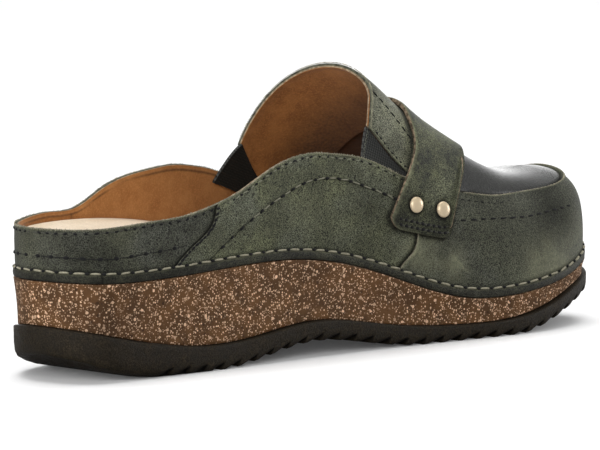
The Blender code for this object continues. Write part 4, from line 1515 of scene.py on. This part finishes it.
    def sew(self, finish: Finishes) -> None:
        """Make the rows of stitches and needle holes."""
        rims, heel_rims, rim_holes, dots, collars, vamp_rows, plug_rows, rear_rows = ([] for _ in range(8))
        for sign in (-1.0, 1.0):
            for first, last, rows, uneven in ((0.0, 0.236, heel_rims, 0.6), (0.262, 0.60, rims, 1.0)):
                row = self.settle(self.rim_track(first, last, 0.0016, sign, 0.0), uneven).places(0.0040)
                rows.append(row)
                rim_holes.append((row[0] + row[1] * 0.0020, row[1], row[2]))
            dots.append(self.settle(Seams.heel_dots.track(sign), 0.6).places(0.0068, stop=0.002))
            collars.append(self.settle(Seams.collar.track(sign, 0.00015)).places(0.0058, start=0.004))
            vamp_rows.append(self.settle(Seams.vamp_stitch.track(sign)).places(0.0050))
            plug_row = self.rim_track(0.690, 0.775, 0.0030, sign, self.ridge * 0.1)
            plug_rows.append(self.settle(plug_row).places(0.0034))
            edge = self.settle(Seams.rear_edge.track(sign, self.lift + 0.0001))
            shifted = Track(edge.points + np.cross(edge.outward, edge.along) * (0.0003 * sign), edge.outward)
            rear_rows.append(shifted.places(0.0021, start=0.001, stop=0.001))
        collar_threads = [((points + along * 0.0029)[3:], along[3:], outward[3:])
                          for points, along, outward in collars]
        between = [(points + along * 0.0034, along, outward) for points, along, outward in dots]
        thread, hole, dark = Bead.THREAD, Bead.HOLE, finish.hole
        dress_rows(
            "upper",
            ("rim_stitches", thread, rims, (0.0024, 0.0005, 0.00032), 10.0, finish.thread_olive),
            ("heel_rim_stitches", thread, heel_rims, (0.0024, 0.0005, 0.00025), 10.0, finish.thread_dark),
            ("rim_holes", hole, rim_holes, (0.0017, 0.0009, 0.00040), 14.0, dark),
            ("heel_holes", hole, dots, (0.0024, 0.0014, 0.00055), 8.0, dark),
            ("heel_threads", thread, between, (0.0054, 0.0003, 0.00020), 2.0, dark),
            ("collar_threads", thread, collar_threads, (0.0036, 0.0006, 0.00045), 7.0, finish.thread_tan),
            ("collar_holes", hole, collars, (0.0020, 0.0012, 0.00050), 10.0, dark),
            ("vamp_stitches", thread, vamp_rows, (0.0032, 0.0008, 0.00034), 6.0, dark),
            ("plug_stitches", thread, plug_rows, (0.0018, 0.0004, 0.00020), 8.0, dark),
            ("rear_stitches", hole, rear_rows, (0.0024, 0.0009, 0.00060), 24.0, dark))

    def crest_track(self, sign: float) -> Track:
        """Line along the top of the ridge round the plug."""
        angle = np.linspace(to_angle(np.array(0.700)), np.pi - 0.001, 420)
        side = np.full_like(angle, sign)
        offset = self.ridge * 0.86 * ease(*self.ridge_start, to_share(angle))
        return lay_track(angle, LAST.below_rim(angle, side, 0.00005), side, offset)

    def fray(self, finish: Finishes) -> None:
        """Make the short fibres along the cut edges."""
        rims, edges, crest = [], [], []
        for sign in (-1.0, 1.0):
            for first, last in ((0.0, 0.236), (0.236, 0.60)):
                rims.append(self.rim_track(first, last, 0.00015, sign, 0.0).places(0.00045))
            rims.append(self.rim_track(0.19, 0.36, 0.00005, sign, -0.0002).places(0.0006))
            edges.append(Seams.rear_edge.track(sign, self.lift).places(0.0006))
            crest.append(Seams.front_edge.track(sign, self.lift).places(0.0005))
            crest.append(self.crest_track(sign).places(0.0005))
        dress_rows(
            "upper",
            ("crest_fibres", Bead.FIBRE, crest, (0.0010, 0.00022, 0.00020), 30.0, finish.fibre),
            ("rim_fibres", Bead.FIBRE, rims, (0.0012, 0.00018, 0.00018), 55.0, finish.fibre),
            ("edge_fibres", Bead.FIBRE, edges, (0.0008, 0.00014, 0.00014), 50.0, finish.thread_olive))


@dataclass(frozen=True)
class Tongue:
    """Stiff tongue with its lining, and the elastic panels beside it."""

    leather: float = 0.0010
    lining_wall: float = 0.0008
    gore_wall: float = 0.0012
    clear: float = 0.0012
    overlap: float = 0.0050
    gore_tuck: float = 0.0010
    throat: float = 0.640
    inner_side: Curve = Curve(TONGUE_X, (0.778, 0.680, 0.578, 0.513, 0.502))
    outer_side: Curve = Curve(TONGUE_X, (0.599, 0.481, 0.410, 0.400, 0.443))
    rear: Curve = Curve((-1.00, -0.70, -0.35, -0.05, 0.30, 0.65, 1.00),
                        (0.541, 0.557, 0.575, 0.568, 0.545, 0.527, 0.516))
    stitch_line: Curve = Curve((0.570, 0.584, 0.603, 0.624, 0.640), (0.700, 0.660, 0.600, 0.540, 0.500))
    gore_quarter: tuple[float, float] = (0.519, 0.472)
    gore_tongue: tuple[float, float] = (0.541, 0.515)
    gore_front: tuple[float, float] = (0.605, 0.600)

    def side_girth(self, angle: Array, side: Array) -> Array:
        """Girth of the tongue's side edge, clear of the quarter's top."""
        low = LAST.moved(angle, LAST.rim(angle, side), side, self.clear)
        share = np.minimum(to_share(angle), 0.65)
        height = LAST.upper_height * LAST.pick(side, self.inner_side, self.outer_side, share)
        return np.maximum(LAST.girth_at(angle, side, height), low)

    def lay_tongue(self, u: Array, v: Array, front: float, depth: float, dive: float) -> Layer:
        """The tongue's surface: u from its rear edge forward, v from its inner to its outer edge.

        Args:
            u: places along, 0 to 1.
            v: places across, 0 to 1.
            front: share of the length at its front edge.
            depth: distance inside the last.
            dive: further distance inside past the throat.

        Returns:
            The layer.
        """
        across = (v - 0.5) * 2
        side = sided(across)
        rear = self.rear.at(across)
        angle = to_angle(rear + (front - rear) * u)
        girth = self.side_girth(angle, side)
        girth = 1 - np.abs(across) * (1 - LAST.moved(angle, girth, side, np.sign(depth) * self.clear))
        roll = (1 - ease(0.0, 0.0035, (to_share(angle) - rear) * LAST.length)) * 0.0003
        roll = roll + dive * ease(self.throat - 0.050, self.throat, to_share(angle))
        points = LAST.skin(angle, girth, side, -depth - roll)
        outward = LAST.normal(angle, girth, side)
        behind = (to_share(angle) - rear) * LAST.length
        edge = np.minimum(behind, (1 - np.abs(across)) * 0.04)
        rubbed = 0.7 * (1 - ease(0.0002, 0.0010, edge))
        if depth > 0:
            # painted shade on the lining, deeper inside towards the front and towards its sides
            shade = 0.80 * ease(0.558, 0.648, to_share(angle)) + 0.24 * ease(0.30, 0.95, np.abs(across))
        else:
            # painted shadow beside the strap
            shade = strap_shadow(points)
        return worn(points, outward, rubbed, shade)

    def tongue(self) -> bpy.types.Object:
        """Leather of the tongue."""
        front = self.throat + 0.004
        return make_sheet("tongue_leather", 54, 140, lambda u, v: self.lay_tongue(u, v, front, 0.0, 0.0))

    def lining(self) -> bpy.types.Object:
        """Lining of the tongue, which runs on under the vamp's plug."""
        front = self.throat + 0.045
        return make_sheet("tongue_lining", 60, 90,
                          lambda u, v: self.lay_tongue(u, v, front, self.leather, 0.0009))

    def gore(self, name: str, sign: float) -> bpy.types.Object:
        """Elastic panel behind the gap between quarter and tongue."""
        order = int(sign > 0)

        def lay(u: Array, v: Array) -> Layer:
            rear = self.gore_rear(order, v)
            angle = to_angle(rear + (self.gore_front[order] - rear) * u)
            points, outward, height = self.gore_place(angle, v, sign, self.gore_tuck)
            return Layer(points, outward, flat=np.stack([to_share(angle) * LAST.length, height], -1))

        return make_sheet(name, 40, 40, lay)

    def gore_rear(self, order: int, part: Array) -> Array:
        """Share of the length at the elastic's rear edge, 0 inner or 1 outer, up its height."""
        return self.gore_quarter[order] + (self.gore_tongue[order] - self.gore_quarter[order]) * part

    def gore_place(self, angle: Array, part: Array, sign: float, tuck: float) -> tuple[Array, Array, Array]:
        """Places on the elastic.

        Args:
            angle: station angles.
            part: place up its height, 0 to 1.
            sign: the side.
            tuck: how far it runs up under the tongue.

        Returns:
            Points, outward directions and heights along the elastic.
        """
        side = np.full_like(angle, sign)
        low = LAST.below_rim(angle, side, self.overlap)
        high = LAST.moved(angle, self.side_girth(angle, side), side, tuck)
        foot, head = LAST.skin(angle, low, side, -0.0021), LAST.skin(angle, high, side, -0.0019)
        points = foot + (head - foot) * part[:, None]
        outward = LAST.normal(angle, low + (high - low) * part, side)
        return points, outward, np.linalg.norm(head - foot, axis=-1) * part

    def edge_track(self, inset: float) -> Track:
        """Line parallel to the tongue's rear edge."""
        across = np.linspace(-0.97, 0.97, 300)
        side = sided(across)
        angle = to_angle(self.rear.at(across) + inset / LAST.length)
        return lay_track(angle, 1 - np.abs(across) * (1 - self.side_girth(angle, side)), side, 0.0001)

    def hem_track(self, sign: float) -> Track:
        """Line just inside the tongue's side edge."""
        rear = float(self.rear.at(np.array([sign]))[0])
        angle = to_angle(np.linspace(rear + 0.008, 0.615, 120))
        side = np.full_like(angle, sign)
        return lay_track(angle, LAST.moved(angle, self.side_girth(angle, side), side, 0.0014), side, 0.0001)

    def side_track(self, sign: float) -> Track:
        """Line of stitches up the tongue's side, down to the strap."""
        angle = to_angle(np.linspace(0.570, 0.630, 120))
        side = np.full_like(angle, sign)
        inner = -np.ones_like(angle)
        part = (1 - self.stitch_line.at(to_share(angle))) / (1 - self.side_girth(angle, inner))
        return lay_track(angle, 1 - part * (1 - self.side_girth(angle, side)), side, 0.0001)

    def zigzag(self) -> list[Places]:
        """Places of the zigzag sewing along the elastic's free edges, each second one turned."""
        both = []
        part = np.linspace(0.22, 0.98, 90)
        for order, sign in enumerate((-1.0, 1.0)):
            angle = to_angle(self.gore_rear(order, part) + 0.0022)
            points, outward, _ = self.gore_place(angle, part, sign, 0.0)
            points, along, outward = Track(points, outward).places(0.0009)
            slant = np.cross(outward, along)
            both += [(points[turn::2], unit((along + slant * lean)[turn::2]), outward[turn::2])
                     for turn, lean in ((0, 1.0), (1, -1.0))]
        return both

    def build(self, finish: Finishes) -> None:
        """Make and dress tongue and elastic."""
        tongue, lining = self.tongue(), self.lining()
        add_wall(tongue, self.leather, 0.0002, rim=1)
        dress(tongue, "tongue", finish.tongue, finish.edge_dark, stands_for=["tongue"])
        add_wall(lining, self.lining_wall, 0.0002, rim=1)
        dress(lining, "tongue", finish.tongue_lining, finish.edge_lining)
        for name, sign in (("gore_inner", -1.0), ("gore_outer", 1.0)):
            gore = self.gore(name + "_elastic", sign)
            add_wall(gore, self.gore_wall, 0.0002, back=1)
            dress(gore, name, finish.elastic, finish.elastic_back_shaded, stands_for=[name])
        stitches = [self.side_track(sign).places(0.0036) for sign in (-1.0, 1.0)]
        holes = [self.hem_track(sign).places(0.0026) for sign in (-1.0, 1.0)]
        edge = [self.edge_track(0.0003).places(0.0005)]
        dress_rows(
            "tongue",
            ("tongue_stitches", Bead.THREAD, stitches, (0.0028, 0.0006, 0.00030), 5.0, finish.hole),
            ("tongue_holes", Bead.HOLE, holes, (0.0013, 0.0007, 0.00030), 20.0, finish.hole),
            ("tongue_fibres", Bead.FIBRE, edge, (0.0009, 0.00016, 0.00016), 50.0, finish.fibre))
        dress_rows("gore_inner", ("gore_zigzag", Bead.THREAD, self.zigzag(), (0.0013, 0.00035, 0.0003), 6.0,
                                  finish.thread_grey))


STRAP_ACROSS = (-1.00, -0.80, -0.60, -0.40, -0.20, 0.00, 0.20, 0.40, 0.60, 0.80, 1.00)


@dataclass(frozen=True)
class Strap:
    """Saddle strap with its riveted ends."""

    wall: float = 0.0019
    gap: float = 0.0006
    end_rear: float = 0.0140
    end_front: float = 0.0170
    end_width: float = 0.0265
    corner: float = 0.0042
    rivet_radius: float = 0.00305
    rivet_dome: float = 0.0009
    rivet_rim: float = 0.0005
    rivet_shares: tuple[float, float] = (0.600, 0.648)
    rivet_heights: tuple[float, float] = (0.0261, 0.0275)
    rear: Curve = Curve(STRAP_ACROSS, (0.556, 0.590, 0.618, 0.628, 0.640, 0.646, 0.640, 0.628, 0.618,
                                       0.590, 0.556))
    front: Curve = Curve(STRAP_ACROSS, (0.660, 0.683, 0.709, 0.734, 0.757, 0.768, 0.757, 0.734, 0.709,
                                        0.683, 0.660))

    def end_girth(self, angle: Array, side: Array, part: Array, inset: float = 0.0) -> Array:
        """Girth of the strap's end line with its rounded corners.

        Args:
            angle: station angles.
            side: -1 or 1 for each.
            part: place across the strap's width, 0 rear to 1 front.
            inset: distance up from the end line.

        Returns:
            Girths.
        """
        line = LAST.girth_at(angle, side, self.end_rear + (self.end_front - self.end_rear) * part)
        corner = np.minimum(part, 1 - part) * self.end_width
        away = np.clip(self.corner - corner, 0, self.corner)
        back = self.corner - np.sqrt(np.maximum(self.corner ** 2 - away ** 2, 0))
        return LAST.moved(angle, line, side, back + inset)

    def lay_strap(self, u: Array, v: Array) -> Layer:
        """The strap's outer surface: u from its inner to its outer end, v from rear to front."""
        across = (u - 0.5) * 2
        side = sided(across)
        rear, front = self.rear.at(across), self.front.at(across)
        angle = to_angle(rear + (front - rear) * v)
        girth = 1 - np.abs(across) * (1 - self.end_girth(angle, side, v))
        outward = LAST.normal(angle, girth, side)
        points = LAST.skin(angle, girth, side, self.gap + self.wall)
        edge = np.minimum(np.minimum(v, 1 - v) * 0.0285, (1 - np.abs(across)) * 0.055)
        roll = 0.0003 * (1 - ease(0.0, 0.0008, edge))
        dent = np.zeros(len(u))
        for centre in self.rivet_seats():
            away = np.linalg.norm(points - centre[0], axis=1)
            dent += 0.0005 * (1 - ease(self.rivet_radius * 0.95, self.rivet_radius * 1.75, away))
        points = points - outward * (roll + dent)[:, None]
        back = np.clip(1.3 - v * 2, 0.15, 1.0)
        rubbed = 0.9 * (1 - ease(0.0002, 0.0006, edge)) * back
        # darker towards the strap's ends
        shade = 0.45 * (1 - ease(0.0050, 0.0120, (1 - np.abs(across)) * 0.055))
        # painted shade in the dents round the rivets
        return worn(points, outward, rubbed, np.clip(dent / 0.0005, 0, 1) ** 2 * 0.85 + shade)

    def outline(self) -> Array:
        """Points all round the strap's edge, on the last."""
        rows = []
        for sign in (-1.0, 1.0):
            part = np.linspace(0, 1, 150)
            side = np.full_like(part, sign)
            across = part * sign
            for curve, place in ((self.rear, 0.0), (self.front, 1.0)):
                angle = to_angle(curve.at(across))
                girth = 1 - part * (1 - self.end_girth(angle, side, np.full_like(part, place)))
                rows.append(LAST.skin(angle, girth, side))
            rear, front = self.rear.at(side), self.front.at(side)
            angle = to_angle(rear + (front - rear) * part)
            rows.append(LAST.skin(angle, self.end_girth(angle, side, part), side))
        return np.concatenate(rows)

    def rivet_seats(self) -> list[tuple[Array, Array]]:
        """Centre and outward direction of each rivet, on the strap's surface."""
        seats = []
        for sign in (-1.0, 1.0):
            for share, height in zip(self.rivet_shares, self.rivet_heights):
                angle, side = to_angle(np.array([share])), np.array([sign])
                girth = LAST.girth_at(angle, side, height)
                seats.append((LAST.skin(angle, girth, side, self.gap + self.wall)[0],
                              LAST.normal(angle, girth, side)[0]))
        return seats

    def rivet(self, name: str, seat: tuple[Array, Array]) -> bpy.types.Object:
        """Rivet cap turned from its profile and set on the strap."""
        work = bmesh.new()
        radius, dome, rim = self.rivet_radius, self.rivet_dome, self.rivet_rim
        profile = [(0.0, rim + dome)]
        profile += [(radius * part, rim + dome * (1 - part ** 3))
                    for part in (0.2, 0.4, 0.55, 0.7, 0.8, 0.88, 0.94)]
        profile += [(radius, rim * 0.7), (radius, 0.0), (radius * 0.9, -0.0004), (0.0, -0.0004)]
        verts = [work.verts.new((across, 0.0, level)) for across, level in profile]
        edges = [work.edges.new(pair) for pair in zip(verts, verts[1:])]
        bmesh.ops.spin(work, geom=verts + edges, cent=(0, 0, 0), axis=(0, 0, 1), angle=2 * math.pi, steps=48,
                       use_merge=True)
        bmesh.ops.remove_doubles(work, verts=work.verts, dist=1e-6)
        bmesh.ops.recalc_face_normals(work, faces=work.faces)
        facing = Vector(seat[1]).to_track_quat("Z", "Y").to_matrix().to_4x4()
        place = Vector(seat[0] - seat[1] * 0.0001)
        bmesh.ops.transform(work, matrix=Matrix.Translation(place) @ facing, verts=work.verts)
        mesh = bpy.data.meshes.new(name)
        work.to_mesh(mesh)
        work.free()
        mesh.shade_smooth()
        return add_object(name, mesh)

    def end_track(self, sign: float, inset: float) -> Track:
        """Line parallel to one end of the strap."""
        part = np.linspace(0.10, 0.93, 80)
        rear, front = self.rear.at(np.array(sign)), self.front.at(np.array(sign))
        angle = to_angle(rear + (front - rear) * part)
        side = np.full_like(part, sign)
        return lay_track(angle, self.end_girth(angle, side, part, inset), side, self.gap + self.wall)

    def build(self, finish: Finishes) -> None:
        """Make and dress strap, rivets and pinholes."""
        strap = make_sheet("strap_leather", 240, 64, self.lay_strap)
        add_wall(strap, self.wall, 0.0004, rim=1)
        dress(strap, "strap", finish.strap, finish.edge_strap, stands_for=["strap"])
        names = [f"rivet_{side}_{place}" for side in ("inner", "outer") for place in ("rear", "front")]
        for name, seat in zip(names, self.rivet_seats()):
            dress(self.rivet(name + "_cap", seat), "rivets", finish.brass, stands_for=[name])
        rows = [self.end_track(sign, inset).places(0.0025)
                for sign in (-1.0, 1.0) for inset in (0.0020, 0.0042)]
        between = [(points + along * 0.00125, along, outward) for points, along, outward in rows]
        dress_rows(
            "strap",
            ("strap_pinholes", Bead.HOLE, rows, (0.0016, 0.0012, 0.0003), 20.0, finish.hole),
            ("strap_stitches", Bead.THREAD, between, (0.0013, 0.0006, 0.0003), 20.0, finish.thread_dark))


@dataclass(frozen=True)
class Studio:
    """Floor, lights and camera.

    Attributes:
        target: the point that the camera and the lamps face.
        azimuth: degrees that the camera stands from the inner side towards the heel.
        elevation: degrees that it looks down.
        roll: degrees that it is tilted.
        distance: metres from the target.
        scale: pixels to the millimetre at the target.
        width: the picture's width in pixels.
    """

    target: tuple[float, float, float] = (0.083, 0.0, 0.0455)
    azimuth: float = 43.0
    elevation: float = 6.2
    roll: float = -1.2
    distance: float = 2.0
    scale: float = 2.62
    width: int = 600

    def camera(self) -> None:
        """The photograph's view."""
        turn, lift, roll = (math.radians(value) for value in (self.azimuth, self.elevation, self.roll))
        back = Vector((-math.sin(turn) * math.cos(lift), -math.cos(turn) * math.cos(lift), math.sin(lift)))
        right = Vector((math.cos(turn), -math.sin(turn), 0.0))
        up = back.cross(right)
        tilted = right * math.cos(roll) + up * math.sin(roll)
        above = up * math.cos(roll) - right * math.sin(roll)
        data = bpy.data.cameras.new("camera")
        data.sensor_fit = "HORIZONTAL"
        data.sensor_width = 36.0
        data.lens = self.scale * self.distance / MM / self.width * data.sensor_width
        data.clip_end = 60.0
        camera = add_object("camera", data)
        axes = Matrix((tilted, above, back)).transposed().to_4x4()
        camera.matrix_world = Matrix.Translation(Vector(self.target) + back * self.distance) @ axes
        bpy.context.scene.camera = camera

    def lamp(self, name: str, place: tuple[float, float, float], size: tuple[float, float],
             power: float) -> None:
        """One soft area light that faces the shoe."""
        data = bpy.data.lights.new(name, "AREA")
        data.shape = "RECTANGLE"
        data.size, data.size_y = size
        data.energy = power
        spot = Vector(place)
        facing = (spot - Vector(self.target)).to_track_quat("Z", "Y").to_matrix().to_4x4()
        add_object(name, data).matrix_world = Matrix.Translation(spot) @ facing

    def floor(self) -> None:
        """Plain pale floor."""
        work = bmesh.new()
        bmesh.ops.create_grid(work, x_segments=4, y_segments=4, size=30.0)
        mesh = bpy.data.meshes.new("floor")
        work.to_mesh(mesh)
        work.free()
        material, tree, shader = start_material("floor")
        seen = tree.add("ShaderNodeLightPath").outputs["Is Camera Ray"]
        tone = tree.mix(tree.noise(tree.place(), 3.0), (0.94, 0.94, 0.94), (0.96, 0.96, 0.96))
        tree.feed(shader, {"Base Color": tree.mix(seen, (0.34, 0.34, 0.34), tone),
                           "Emission Color": tree.mix(seen, (0.0, 0.0, 0.0), (0.05, 0.05, 0.05)),
                           "Emission Strength": 1.0, "Roughness": 0.9, "Specular IOR Level": 0.0})
        mesh.materials.append(material)
        floor = add_object("floor", mesh)

    def world(self, dim: float, bright: float) -> None:
        """Pale surroundings, bright behind the shoe and dim in front of it.

        Args:
            dim: light from the camera's side.
            bright: light from the far side.
        """
        world = bpy.data.worlds.new("studio")
        bpy.context.scene.world = world
        world.use_nodes = True
        tree = Tree(world.node_tree)
        back = world.node_tree.nodes["Background"]
        turn = math.radians(self.azimuth)
        way = tree.add("ShaderNodeTexCoord").outputs["Generated"]
        facing = tree.add("ShaderNodeVectorMath", {0: way, 1: (math.sin(turn), math.cos(turn), -0.60)},
                          operation="DOT_PRODUCT").outputs["Value"]
        glow = tree.span(facing, 0.50, 0.95, dim, bright)
        seen = tree.add("ShaderNodeLightPath").outputs["Is Camera Ray"]
        tree.feed(back, {"Strength": tree.math("MAXIMUM", glow, seen), "Color": (1.0, 1.0, 1.0)})

    def sun(self, toward: tuple[float, float, float], strength: float, spread: float) -> None:
        """Broad even light from above.

        Args:
            toward: direction from the shoe to the light.
            strength: its power to the square metre.
            spread: its width in degrees.
        """
        data = bpy.data.lights.new("overhead", "SUN")
        data.energy = strength
        data.angle = math.radians(spread)
        facing = Vector(toward).to_track_quat("Z", "Y").to_matrix().to_4x4()
        add_object("overhead", data).matrix_world = facing

    def build(self) -> None:
        """Set up the studio."""
        self.camera()
        self.floor()
        self.world(0.15, 2.60)
        self.sun((0.12, 0.18, 1.0), 2.5, 50.0)
        self.lamp("key", (-1.0, -1.3, 0.70), (1.1, 0.9), 18.0)
        self.lamp("left", (-1.1, 0.15, 0.30), (0.5, 0.6), 6.0)
        self.lamp("right", (1.15, -0.40, 0.15), (0.3, 0.4), 5.0)
        bpy.context.scene.view_settings.view_transform = "Standard"


def main() -> None:
    """Build the shoe and its studio."""
    logging.basicConfig(level=logging.INFO, format="%(name)s %(message)s")
    finish = Finishes()
    Studio().build()
    Sole().build(finish)
    Upper().build(finish)
    Tongue().build(finish)
    Strap().build(finish)


if __name__ == "__main__":
    main()
